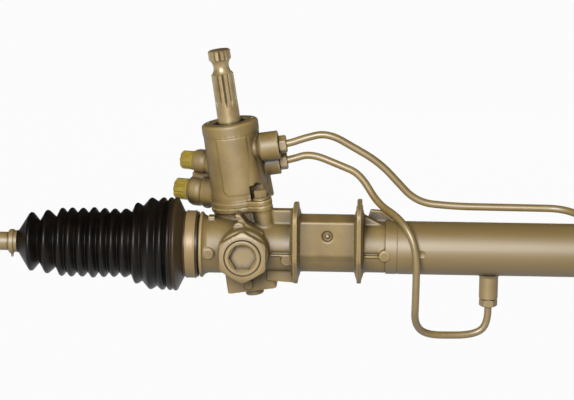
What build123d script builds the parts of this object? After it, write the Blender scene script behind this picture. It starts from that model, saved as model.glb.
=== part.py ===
from build123d import *
import math
import os

# Hydraulic steering rack for a passenger car. Millimetres.
# +X runs along the rack towards the cylinder end, +Z up, -Y out through the rack guide.
# The origin is on the rack axis, half way between the two mounting flanges.

os.makedirs("parts", exist_ok=True)

# ---------------------------------------------------------------- driving dimensions
# rack bar and teeth
RACK_R = 13.0
STROKE = 70.0                 # each way from the middle
MODULE = 2.0                  # normal module
PINION_TEETH = 8
HELIX = 14.0                  # pinion helix angle, degrees
PRESSURE = 20.0               # normal pressure angle, degrees
PROFILE_SHIFT = 0.5
TOOTH_TIP_CUT = 0.35          # shortens the pinion tooth tips
FLANK_PLAY = 0.06             # taken from each flank, on rack and pinion
TOOTH_TIP_Y = 10.2            # flat that the rack's tooth tips lie in
MESH_ZONE = 17.0              # toothed length kept past the pinion axis at full travel
PINION_FACE = 26.0            # toothed length of the pinion
RUNNING = 0.05                # radial clearance of anything that turns or slides in a bore
SEATED = 0.02                 # radial clearance of pieces assembled into a bore for good

# pinion axis
GEAR_X = -71.0
PINION_TILT = 8.4             # top leans towards -X, degrees

# gear housing
RACK_BORE_R = 14.6
NECK_R = 22.0                 # between the pinion barrel and the cylinder
NECK_LEFT_R = 24.5            # between the barrel and the left spigot
SPIGOT_END_X = -124.0         # the left end, under the boot
SPIGOT_R = 25.0
COLLAR_LEFT_X = -110.3
COLLAR_RIGHT_X = -107.5
COLLAR_R = 28.5
BARREL_R = 25.0
BARREL_STEP_W = -20.0
BARREL_BOTTOM_W = -40.6
FOOT_HALF = 21.4              # the barrel's foot is a square block, half as wide as this
FOOT_FRONT = 22.6             # from the pinion axis forward to the block's face
FOOT_TOP_W = -10.0
FOOT_EDGE = 2.5
JOINT_W = 34.9                # face where the valve housing sits, along the pinion axis
GEAR_FLANGE_THICK = 4.4
FLANGE_R = 26.6
FRONT_BOLT = (19.3, -21.6)     # places about the pinion axis
BACK_BOLT = (-4.0, 27.5)
BOLT_LUG_R = 9.3
BOLT_FLANGE_R = 7.4
BOLT_HEX = 10.0
BOLT_HEAD = 8.6
BOLT_R = 3.0
BOLT_LENGTH = 22.0            # under the head
BOLT_CLEAR = 4.0              # room cut in the body above each head
BOLT_COLUMN_LOW_W = 12.0
GUIDE_BOSS_R = 21.5
GUIDE_BOSS_Y = -37.0
GUIDE_BORE_R = 15.3
CASTING_END_X = 50.0
CASTING_SPIGOT_END_X = 71.0

# mounting seat between the flanges
SEAT_HALF = 23.7
SEAT_FRONT_Y = -24.5
SEAT_TOP_Z = 30.6
SEAT_BOTTOM_Z = -21.0
SEAT_BACK_Y = 23.0
FLANGE_TIP = 4.0
FLANGE_ROOT = 7.2
FLANGE_FILLET = 3.2           # how far the thick root reaches out past the seat
LEFT_FLANGE = {"stand": 10.4, "rise": 0.0}      # past the seat all round, and more at the top
RIGHT_FLANGE = {"stand": 9.6, "rise": 4.0}
WEB_FRONT_Y = -7.0            # flat webs above and below the neck
WEB_THICK = 10.0

# round pads and other small forms on the front of the casting
PAD_R = 5.0
PADS = [                      # x, z and the y of the face
    (-102.0, -2.0, -26.2), (-75.4, 20.7, -26.0), (-34.3, -7.4, -23.2), (49.3, -2.0, -24.6),
]
PAD_DEPTH = 9.0
STOP_AT = (-100.2, -3.0, 20.0)      # block behind the boot's shoulder
STOP_SIZE = (5.6, 10.0, 13.0)
PARTING_Z = -3.2
PARTING_THICK = 1.5
PARTING_PROUD = 1.3
PIP = (0.2, 14.6)             # ringed mark on the seat's front: x and z
PIP_RING_R = 4.7
PIP_PIN_R = 1.7
PIP_DEPTH = 2.6

# cylinder tube
TUBE_R = 23.0
TUBE_WALL = 2.0
TUBE_END_X = 350.0
PORT_NEAR_X = 139.4
PORT_FAR_X = 311.0
PORT_BOSS_R = 8.15
PORT_BOSS_BOTTOM_Z = -44.0
PORT_HOLE_R = 4.0
PISTON_X = 225.0
PISTON_LENGTH = 22.0

# valve housing, measured along the pinion axis from the rack axis
VALVE_R = 23.65
VALVE_TOP_W = 106.8
VALVE_STEP_W = VALVE_TOP_W - 10.3
VALVE_FLANGE_TOP_W = 39.4
VALVE_BORE_R = 17.0
VALVE_BORE_TOP_W = VALVE_TOP_W - 12.8        # floor of the seal's recess
SEAL_RECESS_R = 14.0

VALVE_CAP_R = 24.6            # head of the valve housing, above the step
VALVE_EDGE = 2.4              # rounding of its top edge
FLARE_TOP_W = 49.0            # the body flares out to its flange below this
FLARE_R = 25.0
PANEL = {"left": -11.5, "right": 14.0, "low": 46.0, "high": 96.0, "proud": 1.2, "corner": 6.0}
BACK_RIB = (19.0, 10.0)
BACK_RIB_LOW_R = 9.4
BACK_RIB_TOP_R = 7.0
BACK_RIB_TOP_W = 90.0
FRONT_RIB = (10.5, -12.5)
FRONT_RIB_LOW_R = 11.5
FRONT_RIB_TOP_R = 8.3
FRONT_RIB_TOP_W = 95.0
PORT_BRIDGE = {"reach": 31.0, "width": 22.0, "thick": 7.0, "low": 46.0, "high": 58.0}
LEFT_PORT_TURN = 20.0         # how far the left ports point back from -X, degrees
PLUG_DEPTH = 9.0
UPPER_LEFT_PORT = {"z": 67.5, "radius": 10.5, "reach": 38.5, "collar": 25.5, "rim": 1.4,
                   "plug_r": 8.5, "plug_length": 12.0}
LOWER_LEFT_PORT = {"z": 40.8, "radius": 13.5, "reach": 47.4, "collar": 33.5, "rim": 3.0,
                   "plug_r": 9.8, "plug_length": 13.4}
UPPER_RIGHT_PORT = {"v": -9.0, "w": 82.3, "radius": 12.5, "reach": 40.5, "root": 21.0}
LOWER_RIGHT_PORT = {"v": 9.0, "w": 64.3, "radius": 11.0, "reach": 37.8, "root": 17.0}

# input shaft
SHAFT_R = 9.8
SPLINE_R = 9.65
SPLINE_COUNT = 12
SPLINE_PHASE = 5.0            # turn of the first groove, degrees
SPLINE_LOW_W = 125.0
SPLINE_LENGTH = 24.4
SPLINE_RUNOUT = 9.0           # the grooves fade out over this length, below the splines
SPLINE_DEPTH = 1.3
SPLINE_HALF = 1.25            # half the width of a spline groove at the surface
WAIST_LENGTH = 11.2           # groove for the pinch bolt, between splines and head
WAIST_R = 6.7
HEAD_LENGTH = 9.0
CAP_PLAY = 0.3                # gaps along the pinion axis, where shafts end inside others
SHAFT_EDGE = 1.0              # chamfers of the shaft's splined parts
TORSION_R = 3.5
TORSION_LOW_W = -8.0
TORSION_COVER = 11.6          # shaft end above the torsion bar

# pinion shaft, bearings and valve sleeve
PINION_FOOT_R = 8.0
PINION_FOOT_W = -37.6
PINION_STUD_R = 6.0
PINION_NUT_FLATS = 19.0
LOW_BEARING_W = (-33.3, -21.3)
LOW_BEARING_R = 14.0
HIGH_BEARING_W = (18.3, 30.0)
HIGH_BEARING_R = 10.5
HIGH_BEARING_OUTER_R = 19.0
CUP_LOW_W = 31.0
SLEEVE_LOW_W = 44.0
SLEEVE_HIGH_W = 90.0
SLEEVE_R = 16.4
SLEEVE_BORE_R = 11.0
CAP_R = 17.0
CAP_TOP_W = -34.8
CAP_BOSS_R = 8.0
CAP_PROUD = 7.8
CAP_FLOOR = 1.4

# rack guide
GUIDE_FACE_Y = -7.0
GUIDE_LENGTH = 22.0
GUIDE_POCKET = 6.0
PLUG_POCKET = 3.0
DISC_THICK = 1.25
DISC_BORE_R = 5.0
DISC_R = 10.0
LINER = 1.5
PLUG_BACK_Y = -30.5
PLUG_FRONT_Y = -48.0
PLUG_SOCKET = 20.6
PLUG_SOCKET_DEPTH = 10.0
PLUG_MOUTH_R = 12.4
PLUG_RIM = 1.2                # rounding of the plug's front rim
LOCKNUT_FLATS = 39.4
LOCKNUT_THICK = 10.4

# seals and bushings in the cylinder
SEAM_GROOVE_X = 60.0
DIMPLE_X = 80.5
DIMPLE_R = 8.0
DIMPLE_DEPTH = 1.0
BULKHEAD_END_X = 131.0
SEAL_WIDTH = 9.0
SEAL_SEAT_R = 18.5
BUSHING_X = 318.0
BUSHING_LENGTH = 27.0

# pipes and their unions
PIPE_R = 3.2
PIPE_BORE_R = 2.1
PIPE_BEND_R = 14.0
UNION_FLATS = 14.0
UNION_HEAD = 6.4
UNION_THREAD_R = 5.5
UNION_DEPTH = 12.0
PIPE_STRAIGHT = 3.0           # straight pipe past a nut
PIPE_SEAT = 3.0               # from the pipe's end to the bottom of its port
SHORT_PIPE_POINTS = [
    (-16.5, 25.8, 76.6), (10.0, 20.0, 67.3), (27.0, 15.0, 61.2), (43.0, 1.0, 37.8),
    (60.0, -17.0, 31.3), (71.5, -28.0, 18.5), (76.8, -30.5, 0.0), (76.3, -30.0, -40.0),
    (75.8, -22.0, -62.0), (86.0, -8.0, -75.8), (126.0, -1.0, -77.2),
]
LONG_PIPE_POINTS = [
    (-22.0, 8.4, 93.2), (-1.0, 8.4, 98.6), (43.5, 8.4, 73.2), (76.0, 8.4, 38.2),
    (110.0, 8.4, 35.3), (203.0, 8.4, 34.8), (222.0, -10.0, 30.5), (244.0, -29.0, 8.0),
    (247.0, -30.5, -38.0), (250.0, -22.0, -62.0), (262.0, -8.0, -75.8), (298.0, -1.0, -77.2),
]
PIPE_FOOT_Z = -69.0           # last corner of both pipes, under their tube port

# ball joints and tie rods
BALL_R = 11.5
SOCKET_R = 19.0
SOCKET_BALL = 15.0            # from the socket's inner face to the ball's centre
SOCKET_LENGTH = 23.0
STOP_GAP = 2.5                # left over at full travel, before the lock washer
WASHER = 1.5
STUD_R = 8.0
STUD_LENGTH = 18.0
SEAT_R = 13.0
BALL_PLAY = 0.2
ROD_R = 8.0
ROD_THREAD_R = 7.0
ROD_LENGTH = 290.0            # ball centre to the threaded end
THREAD_LENGTH = 90.0
ROD_CORE_R = 6.4              # thread core, under the lock nut
ROD_NUT_S = ROD_LENGTH - 60.0  # lock nut's inner face, from the ball's centre
ROD_NUT_THICK = 11.0
ROD_NUT_FLATS = 22.0

# boots; s is the distance out from the ball's centre
BOOT_WALL = 1.8
BAND = 1.0
BAND_WIDTH = 10.5
BAND_SEAT_R = 28.3
CUFF_R = 9.5
CUFF_START_S = 57.5
CUFF_END_S = 66.2
BOOT_SEAT = (56.9, 66.8)       # groove in the tie rod
BOOT_SEAT_DEPTH = 0.5
BIG_CUFF_S = -87.8
BIG_END_S = -99.8
CREST_HALF = 1.1
BOOT_CRESTS = [
    (46.2, 25.6), (32.3, 27.7), (19.5, 29.7), (10.9, 30.1), (1.4, 30.0), (-8.2, 30.7), (-17.4, 30.1),
    (-26.3, 29.8), (-35.8, 29.9), (-46.0, 35.2), (-58.5, 39.8), (-68.9, 40.2), (-75.4, 40.3),
    (-80.4, 40.6),
]
BOOT_VALLEYS = [
    (18.2, 38.8), (21.7, 24.5), (25.7, 15.2), (25.7, 6.2), (25.7, -3.4), (25.7, -12.8), (25.7, -21.8),
    (25.7, -31.0), (26.8, -41.2), (32.5, -51.1), (36.7, -64.0), (36.9, -72.2), (38.6, -77.9),
    (31.0, -86.3),
]
BOOT_INSIDE = [
    (35.3, -79.0), (36.3, -66.0), (32.3, -51.1), (26.4, -41.2), (25.5, -31.0), (25.5, 15.2),
    (21.5, 24.5), (18.0, 38.8), (10.2, 55.0),
]


# ---------------------------------------------------------------- helpers
def rod(start, direction, radius, length):
    """A round bar from start, going along direction."""
    place = Plane(origin=Vector(*start), z_dir=Vector(*direction))
    return place * Cylinder(radius, length, align=(Align.CENTER, Align.CENTER, Align.MIN))


def along_x(x1, x2, radius):
    return rod((x1, 0, 0), (1, 0, 0), radius, x2 - x1)


def tube_x(x1, x2, outer, inner):
    return along_x(x1, x2, outer) - along_x(x1 - 1, x2 + 1, inner)


def turned(profile, place):
    """Revolve (radius, height) points about the z axis of a plane."""
    face = make_face(Polyline(*[(r, 0, h) for r, h in profile], close=True))
    return place * revolve(face, Axis.Z, 360)


def hex_bar(place, flats, length):
    return place * extrude(RegularPolygon(flats / 2, 6, major_radius=False), length)


def save(name, shape):
    shape.label = name
    export_step(shape, "parts/" + name + ".step")


# ---------------------------------------------------------------- derived places
tilt = math.radians(PINION_TILT)
helix = math.radians(HELIX)
pitch_r = PINION_TEETH * MODULE / (2 * math.cos(helix))
reference_y = TOOTH_TIP_Y - MODULE
PINION_Y = reference_y + pitch_r + PROFILE_SHIFT * MODULE
pinion_plane = Plane(
    origin=(GEAR_X, PINION_Y, 0),
    x_dir=(math.cos(tilt), 0, math.sin(tilt)),
    z_dir=(-math.sin(tilt), 0, math.cos(tilt)),
)
tube_bore_r = TUBE_R - TUBE_WALL
ball_left_x = SPIGOT_END_X - STROKE - STOP_GAP - SOCKET_BALL
ball_right_x = TUBE_END_X + STROKE + STOP_GAP + SOCKET_BALL
rack_left_x = ball_left_x + SOCKET_BALL + WASHER
rack_right_x = ball_right_x - SOCKET_BALL - WASHER
base_r = pitch_r * math.cos(math.atan(math.tan(math.radians(PRESSURE)) / math.cos(helix)))
guide_back_y = GUIDE_FACE_Y - GUIDE_LENGTH
spline_top_w = SPLINE_LOW_W + SPLINE_LENGTH
head_low_w = spline_top_w + WAIST_LENGTH
shaft_top_w = head_low_w + HEAD_LENGTH
torsion_high_w = shaft_top_w - TORSION_COVER


def at(u, v, w):
    """A point given along the pinion plane's own axes."""
    return pinion_plane.from_local_coords(Vector(u, v, w))


def raised(w):
    """The pinion plane moved up its own axis."""
    return pinion_plane.offset(w)


UPPER_RIGHT_PORT["direction"] = pinion_plane.x_dir
LOWER_RIGHT_PORT["direction"] = pinion_plane.x_dir


# ---------------------------------------------------------------- gear housing
def seat_outline(grow):
    """Cross-section of the mounting seat in Y and Z, counter-clockwise, grown outwards."""
    points = [
        (SEAT_FRONT_Y, SEAT_BOTTOM_Z + 18.3),
        (SEAT_FRONT_Y + 11.0, SEAT_BOTTOM_Z + 3.0),
        (SEAT_FRONT_Y + 17.0, SEAT_BOTTOM_Z),
        (SEAT_BACK_Y - 9.0, SEAT_BOTTOM_Z),
        (SEAT_BACK_Y, SEAT_BOTTOM_Z + 9.0),
        (SEAT_BACK_Y, SEAT_TOP_Z - 14.0),
        (SEAT_BACK_Y - 13.0, SEAT_TOP_Z - 4.2),
        (SEAT_FRONT_Y + 14.0, SEAT_TOP_Z),
        (SEAT_FRONT_Y, SEAT_TOP_Z - 3.8),
    ]
    face = make_face(Polyline(*points, close=True))
    if grow:
        face = offset(face, amount=grow, kind=Kind.ARC)
    return face


def x_section(x):
    """A plane across the rack at x, with Y and Z as its own axes."""
    return Plane(origin=(x, 0, 0), x_dir=(0, 1, 0), z_dir=(1, 0, 0))


def mounting_flange(middle, spec):
    """A flange that tapers in steps: thick beside the seat, thin at its rim."""
    flange = x_section(middle - FLANGE_ROOT / 2) * extrude(seat_outline(FLANGE_FILLET), FLANGE_ROOT)
    between = (FLANGE_ROOT + FLANGE_TIP) / 2
    for reach, thick in ((FLANGE_FILLET + 2.2, between), (spec["stand"], FLANGE_TIP)):
        outline = seat_outline(reach)
        if spec["rise"]:
            raised_outline = Pos(0, spec["rise"] * reach / spec["stand"]) * outline
            outline = make_hull(outline.edges() + raised_outline.edges())
        plate = x_section(middle - thick / 2) * extrude(outline, thick)
        flange = flange + plate
    return flange


def gear_housing():
    neck = along_x(GEAR_X, CASTING_END_X, NECK_R)
    neck_left = along_x(COLLAR_RIGHT_X - 1, GEAR_X, NECK_LEFT_R)
    spigot = along_x(SPIGOT_END_X, COLLAR_LEFT_X + 1, SPIGOT_R)
    spigot = chamfer(spigot.edges().group_by(Axis.X)[0], 1.2)
    collar = along_x(COLLAR_LEFT_X, COLLAR_RIGHT_X, COLLAR_R)
    cone = loft([
        x_section(COLLAR_RIGHT_X - 0.5) * Circle(COLLAR_R - 1.5),
        x_section(COLLAR_RIGHT_X + 4.0) * Circle(NECK_LEFT_R),
    ])
    # barrels about the pinion axis
    upper = raised(BARREL_STEP_W) * Cylinder(
        BARREL_R, JOINT_W - BARREL_STEP_W, align=(Align.CENTER, Align.CENTER, Align.MIN))
    foot = Box(2 * FOOT_HALF, 2 * FOOT_FRONT, FOOT_TOP_W - BARREL_BOTTOM_W,
               align=(Align.CENTER, Align.CENTER, Align.MIN))
    foot = fillet(foot.edges().filter_by(Axis.Z), FOOT_EDGE)
    foot = raised(BARREL_BOTTOM_W) * foot
    boss = rod((GEAR_X, PINION_Y, 0), (0, -1, 0), GUIDE_BOSS_R, PINION_Y - GUIDE_BOSS_Y)
    boss = fillet(boss.edges().group_by(Axis.Y)[0], 2.0)
    flange_low = JOINT_W - GEAR_FLANGE_THICK
    flange = raised(flange_low) * extrude(flange_outline(), GEAR_FLANGE_THICK)
    columns = [
        raised(BOLT_COLUMN_LOW_W) * Pos(u, v, 0)
        * Cylinder(BOLT_LUG_R - 1, flange_low - BOLT_COLUMN_LOW_W + 1,
                   align=(Align.CENTER, Align.CENTER, Align.MIN))
        for u, v in bolt_places()
    ]
    seat = x_section(-SEAT_HALF - 2) * extrude(seat_outline(0), 2 * SEAT_HALF + 4)
    flange_x = SEAT_HALF + FLANGE_ROOT / 2
    flanges = [mounting_flange(-flange_x, LEFT_FLANGE), mounting_flange(flange_x, RIGHT_FLANGE)]
    webs = gusset_webs()
    spigot_right = along_x(CASTING_END_X - 1, CASTING_SPIGOT_END_X, tube_bore_r - SEATED)
    solid = neck + neck_left + spigot + collar + cone + upper + foot + boss + flange
    solid = solid + columns + seat + flanges + webs + housing_ribs()
    solid = solid - parting_channels()
    solid = solid + parting_ridges() + casting_pads()
    solid = solid - seat_pip() - along_x(CASTING_END_X, CASTING_SPIGOT_END_X, TUBE_R + SEATED)
    return solid + spigot_right - gear_housing_bores()


def bolt_places():
    return [FRONT_BOLT, BACK_BOLT]


def flange_outline():
    """Round flange with a lug at each bolt."""
    outline = Circle(FLANGE_R)
    for u, v in bolt_places():
        outline = outline + make_hull(
            [Pos(u, v) * Edge.make_circle(BOLT_LUG_R),
             Pos(u / 3, v / 3) * Edge.make_circle(FLANGE_R * 0.62)])
    return outline


def gusset_webs():
    """Flat webs above and below the neck, beside each mounting flange."""
    inside = SEAT_HALF + FLANGE_ROOT / 2
    left_top = [(-49, 10), (-49, 33.0), (-inside, 33.0), (-inside, 10)]
    left_low = [(-inside, -10), (-inside, -31.6), (-46, -30.2), (-52, -29.6), (-52, -10)]
    right_top = [(inside, 10), (inside, 30.6), (CASTING_END_X, 19.8), (CASTING_END_X, 10)]
    plane = Plane.XZ.offset(-WEB_FRONT_Y)
    return [plane * extrude(make_face(Polyline(*points, close=True)), -WEB_THICK)
            for points in (left_top, left_low, right_top)]


def housing_ribs():
    """The ridge on the front of the pinion barrel, a stop at its left, the foot's stud and a rear lug."""
    ridge = Plane.XZ.offset(23) * extrude(make_face(Polyline(
        (-79.0, 32), (-75.0, 32), (-68.5, 23.6), (-54.5, 16.2), (-54.5, 12.0), (-72, 16), close=True)), -21)
    stop = Pos(STOP_AT) * Box(*STOP_SIZE)
    stud = Pos(GEAR_X + 2.8, PINION_Y - FOOT_FRONT, -33.5) * Rot(90, 0, 0) * Box(6.4, 9.0, 4.0)
    lug = Plane.XZ.offset(-16) * extrude(make_face(Polyline(
        (30, 10), (36.5, 30.4), (46.5, 29.8), (60.5, 18.6), (60.5, 12), close=True)), 6)
    return [ridge, stop, fillet(stud.edges().filter_by(Axis.Y), 2.5), lug]


def parting_spans():
    """Where the casting's parting line shows on the front of the neck."""
    return [(-49.0, -SEAT_HALF - FLANGE_ROOT), (SEAT_HALF + FLANGE_ROOT, CASTING_END_X)]


def parting_channels():
    """A shallow channel round each ridge."""
    return [Pos((x1 + x2) / 2, -NECK_R, PARTING_Z) * Box(x2 - x1, 2.6, 7.0) for x1, x2 in parting_spans()]


def parting_ridges():
    proud = NECK_R + PARTING_PROUD
    return [Pos((x1 + x2) / 2, -proud, PARTING_Z) * Box(
        x2 - x1, 6.0, PARTING_THICK, align=(Align.CENTER, Align.MIN, Align.CENTER))
        for x1, x2 in parting_spans()]


def casting_pads():
    """Round pads that the ejector pins leave; each has a small edge radius."""
    pads = []
    for x, z, y in PADS:
        pad = rod((x, y, z), (0, 1, 0), PAD_R, PAD_DEPTH)
        pads.append(fillet(pad.edges().group_by(Axis.Y)[0], 0.8))
    return pads


def seat_pip():
    """A ring pressed into the front of the seat, with a pin left in its middle."""
    x, z = PIP
    start = (x, SEAT_FRONT_Y - 1, z)
    return rod(start, (0, 1, 0), PIP_RING_R, PIP_DEPTH + 1) - rod(start, (0, 1, 0), PIP_PIN_R, PIP_DEPTH + 1)


def gear_housing_bores():
    rack_bore = along_x(SPIGOT_END_X - 1, CASTING_SPIGOT_END_X + 1, RACK_BORE_R)
    guide_bore = rod((GEAR_X, GUIDE_BOSS_Y - 1, 0), (0, 1, 0), GUIDE_BORE_R, -GUIDE_BOSS_Y + 1)
    pinion_bore = turned([
        (0, BARREL_BOTTOM_W - 1), (CAP_R, BARREL_BOTTOM_W - 1), (CAP_R, LOW_BEARING_W[0] - 0.5),
        (LOW_BEARING_R, LOW_BEARING_W[0] - 0.5), (LOW_BEARING_R, LOW_BEARING_W[1] + 0.5),
        (12.2, LOW_BEARING_W[1] + 0.5), (12.2, HIGH_BEARING_W[0] - 0.3),
        (HIGH_BEARING_OUTER_R, HIGH_BEARING_W[0] - 0.3), (HIGH_BEARING_OUTER_R, JOINT_W + 1),
        (0, JOINT_W + 1)], pinion_plane)
    holes = [raised(VALVE_FLANGE_TOP_W - BOLT_LENGTH - 1) * Pos(u, v, 0) * Cylinder(
        BOLT_R + SEATED, BOLT_LENGTH, align=(Align.CENTER, Align.CENTER, Align.MIN)) for u, v in bolt_places()]
    return [rack_bore, guide_bore, pinion_bore] + holes



# ---------------------------------------------------------------- cylinder
def cylinder_tube():
    tube = tube_x(CASTING_END_X, TUBE_END_X, TUBE_R, tube_bore_r)
    groove = Pos(SEAM_GROOVE_X, 0, 0) * Rot(0, 90, 0) * Torus(TUBE_R, 0.5)
    dimple = Pos(DIMPLE_X, -TUBE_R - DIMPLE_R + DIMPLE_DEPTH, 0) * Sphere(DIMPLE_R)
    ports = [rod((x, 0, 0), (0, 0, -1), PORT_HOLE_R, TUBE_R + 5) for x in (PORT_NEAR_X, PORT_FAR_X)]
    return tube - groove - dimple - ports


def port_boss(x):
    """A union boss welded under the tube; the pipe's cone seats in its mouth."""
    boss = rod((x, 0, 0), (0, 0, -1), PORT_BOSS_R, -PORT_BOSS_BOTTOM_Z)
    boss = chamfer(boss.edges().group_by(Axis.Z)[0], 0.8)
    weld = Pos(x, 0, -TUBE_R - 0.2) * Cone(
        PORT_BOSS_R, PORT_BOSS_R + 2.2, 2.6, align=(Align.CENTER, Align.CENTER, Align.CENTER))
    mouth = rod((x, 0, PORT_BOSS_BOTTOM_Z - 1), (0, 0, 1), UNION_THREAD_R, UNION_DEPTH + 1)
    hole = rod((x, 0, PORT_BOSS_BOTTOM_Z), (0, 0, 1), PORT_HOLE_R, 40)
    return boss + weld - mouth - hole - along_x(x - 20, x + 20, TUBE_R + SEATED)


def inner_bulkhead():
    """Sleeve that closes the cylinder on the pinion side and carries its seal."""
    sleeve = tube_x(CASTING_SPIGOT_END_X + 0.3, BULKHEAD_END_X, tube_bore_r - SEATED, RACK_BORE_R)
    stake = tube_x(DIMPLE_X - 4, DIMPLE_X + 4, tube_bore_r + 1, tube_bore_r - 2.0)
    seat = along_x(BULKHEAD_END_X - SEAL_WIDTH, BULKHEAD_END_X + 1, SEAL_SEAT_R)
    return sleeve - stake - seat


def rod_seal(x1, x2):
    ring = tube_x(x1, x2, SEAL_SEAT_R - SEATED, RACK_R + RUNNING)
    return ring


def rack_end_bushing():
    outer = tube_x(BUSHING_X, BUSHING_X + BUSHING_LENGTH, tube_bore_r - SEATED, RACK_R + RUNNING)
    seat = along_x(BUSHING_X - 1, BUSHING_X + SEAL_WIDTH, SEAL_SEAT_R)
    groove = tube_x(BUSHING_X + 14, BUSHING_X + 17, tube_bore_r + 1, tube_bore_r - 1.6)
    return outer - seat - groove


def end_retaining_ring():
    """Wire ring in front of the bushing, in a groove of the tube's wall."""
    x = BUSHING_X + BUSHING_LENGTH + 0.2
    return tube_x(x, x + 2.0, tube_bore_r - SEATED, tube_bore_r - 3.0)


def boot_collar():
    """Pressed ring that gives the far boot the same seat as the gear housing does."""
    x1 = TUBE_END_X - (COLLAR_LEFT_X - SPIGOT_END_X)
    ring = tube_x(x1, TUBE_END_X, SPIGOT_R, TUBE_R + SEATED)
    lip = tube_x(x1 - 2.8, x1, COLLAR_R, TUBE_R + SEATED)
    rim = ring.edges().group_by(Axis.X)[-1].sort_by(SortBy.RADIUS)[-1]
    return chamfer(rim, 1.0) + lip


# ---------------------------------------------------------------- rack
def rack_direction():
    """Angle of the rack's tooth lines from vertical, in the plane of its flat."""
    return tilt + helix


def rack_groove_comb():
    """Outline that cuts the flat and its tooth spaces, across the tooth lines."""
    pitch = math.pi * MODULE
    each_way = math.ceil((STROKE + MESH_ZONE) * math.cos(rack_direction()) / pitch)
    slope = math.tan(math.radians(PRESSURE))
    root_y = reference_y - 1.25 * MODULE
    half_at_tip = pitch / 4 + MODULE * slope + FLANK_PLAY
    half_at_root = pitch / 4 - 1.25 * MODULE * slope + FLANK_PLAY
    first = -each_way * pitch
    points = [(first - pitch / 2, RACK_R + 2), (first - pitch / 2, TOOTH_TIP_Y)]
    for n in range(2 * each_way + 1):
        middle = first + n * pitch
        points += [(middle - half_at_tip, TOOTH_TIP_Y), (middle - half_at_root, root_y),
                   (middle + half_at_root, root_y), (middle + half_at_tip, TOOTH_TIP_Y)]
    points += [(-points[0][0], TOOTH_TIP_Y), (-points[0][0], RACK_R + 2)]
    return make_face(Polyline(*points, close=True))


def rack_bar():
    lean = rack_direction()
    across = Plane(
        origin=(GEAR_X, 0, 0), x_dir=(math.cos(lean), 0, math.sin(lean)),
        z_dir=(-math.sin(lean), 0, math.cos(lean)))
    bar = along_x(rack_left_x, rack_right_x, RACK_R)
    ends = bar.edges().group_by(Axis.X)
    bar = chamfer(ends[0] + ends[-1], 1.0)
    teeth = across * extrude(rack_groove_comb(), STROKE + MESH_ZONE, both=True)
    stud_holes = [
        along_x(rack_left_x - 1, rack_left_x + STUD_LENGTH + 1, STUD_R + SEATED),
        along_x(rack_right_x - STUD_LENGTH - 1, rack_right_x + 1, STUD_R + SEATED)]
    piston_seat = tube_x(
        PISTON_X - PISTON_LENGTH / 2, PISTON_X + PISTON_LENGTH / 2, RACK_R + 2, RACK_R - 0.8)
    return bar - teeth - stud_holes - piston_seat


def rack_piston():
    half = PISTON_LENGTH / 2
    piston = tube_x(PISTON_X - half, PISTON_X + half, tube_bore_r - 0.35, RACK_R - 0.8 + SEATED)
    groove = tube_x(PISTON_X - 2.6, PISTON_X + 2.6, tube_bore_r + 1, tube_bore_r - 2.4)
    return piston - groove


def piston_ring():
    return tube_x(PISTON_X - 2.5, PISTON_X + 2.5, tube_bore_r - RUNNING, tube_bore_r - 2.35)


# ---------------------------------------------------------------- rack guide
def rack_guide():
    guide = rod((GEAR_X, GUIDE_FACE_Y, 0), (0, -1, 0), GUIDE_BORE_R - RUNNING, GUIDE_LENGTH)
    hollow = rod((GEAR_X, guide_back_y - 1, 0), (0, 1, 0), DISC_R + 0.5, GUIDE_POCKET + 1)
    saddle = along_x(GEAR_X - 20, GEAR_X + 20, RACK_R + RUNNING + LINER + SEATED)
    return guide - hollow - saddle


def rack_guide_liner():
    shell = tube_x(GEAR_X - 9, GEAR_X + 9, RACK_R + RUNNING + LINER, RACK_R + RUNNING)
    keep = Pos(GEAR_X, -RACK_R, 0) * Box(20, 16, 19)
    return shell & keep


def rack_guide_spring():
    """Two dished washers, rim to rim, between guide and plug."""
    guide_floor = guide_back_y + GUIDE_POCKET
    plug_floor = PLUG_BACK_Y - PLUG_POCKET
    half = (guide_floor - plug_floor) / 2
    place = Plane(origin=(GEAR_X, (guide_floor + plug_floor) / 2, 0), z_dir=(0, -1, 0))
    rise = half - DISC_THICK
    dish = [(DISC_BORE_R, rise), (DISC_BORE_R, half - SEATED), (DISC_R, DISC_THICK), (DISC_R, SEATED)]
    discs = [turned(dish, place), turned([(r, -h) for r, h in dish], place)]
    return Compound(children=[disc.solid() for disc in discs])


def rack_guide_plug():
    plug = rod((GEAR_X, PLUG_BACK_Y, 0), (0, -1, 0), GUIDE_BORE_R - SEATED, PLUG_BACK_Y - PLUG_FRONT_Y)
    front = Plane(origin=(GEAR_X, PLUG_FRONT_Y, 0), x_dir=(1, 0, 0), z_dir=(0, -1, 0))
    plug = fillet(plug.edges().group_by(Axis.Y)[0], PLUG_RIM)
    mouth_depth = PLUG_MOUTH_R - PLUG_SOCKET / 2 + 0.6
    mouth = turned([(0, 1), (PLUG_MOUTH_R + 1, 1), (PLUG_MOUTH_R, 0), (PLUG_SOCKET / 2 - 0.6, -mouth_depth),
                    (0, -mouth_depth)], front)
    socket = front * extrude(RegularPolygon(PLUG_SOCKET / 2, 6, major_radius=False), -PLUG_SOCKET_DEPTH)
    pocket = rod((GEAR_X, PLUG_BACK_Y + 1, 0), (0, -1, 0), DISC_R + 0.5, PLUG_POCKET + 1)
    return plug - mouth - socket - pocket


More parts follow.
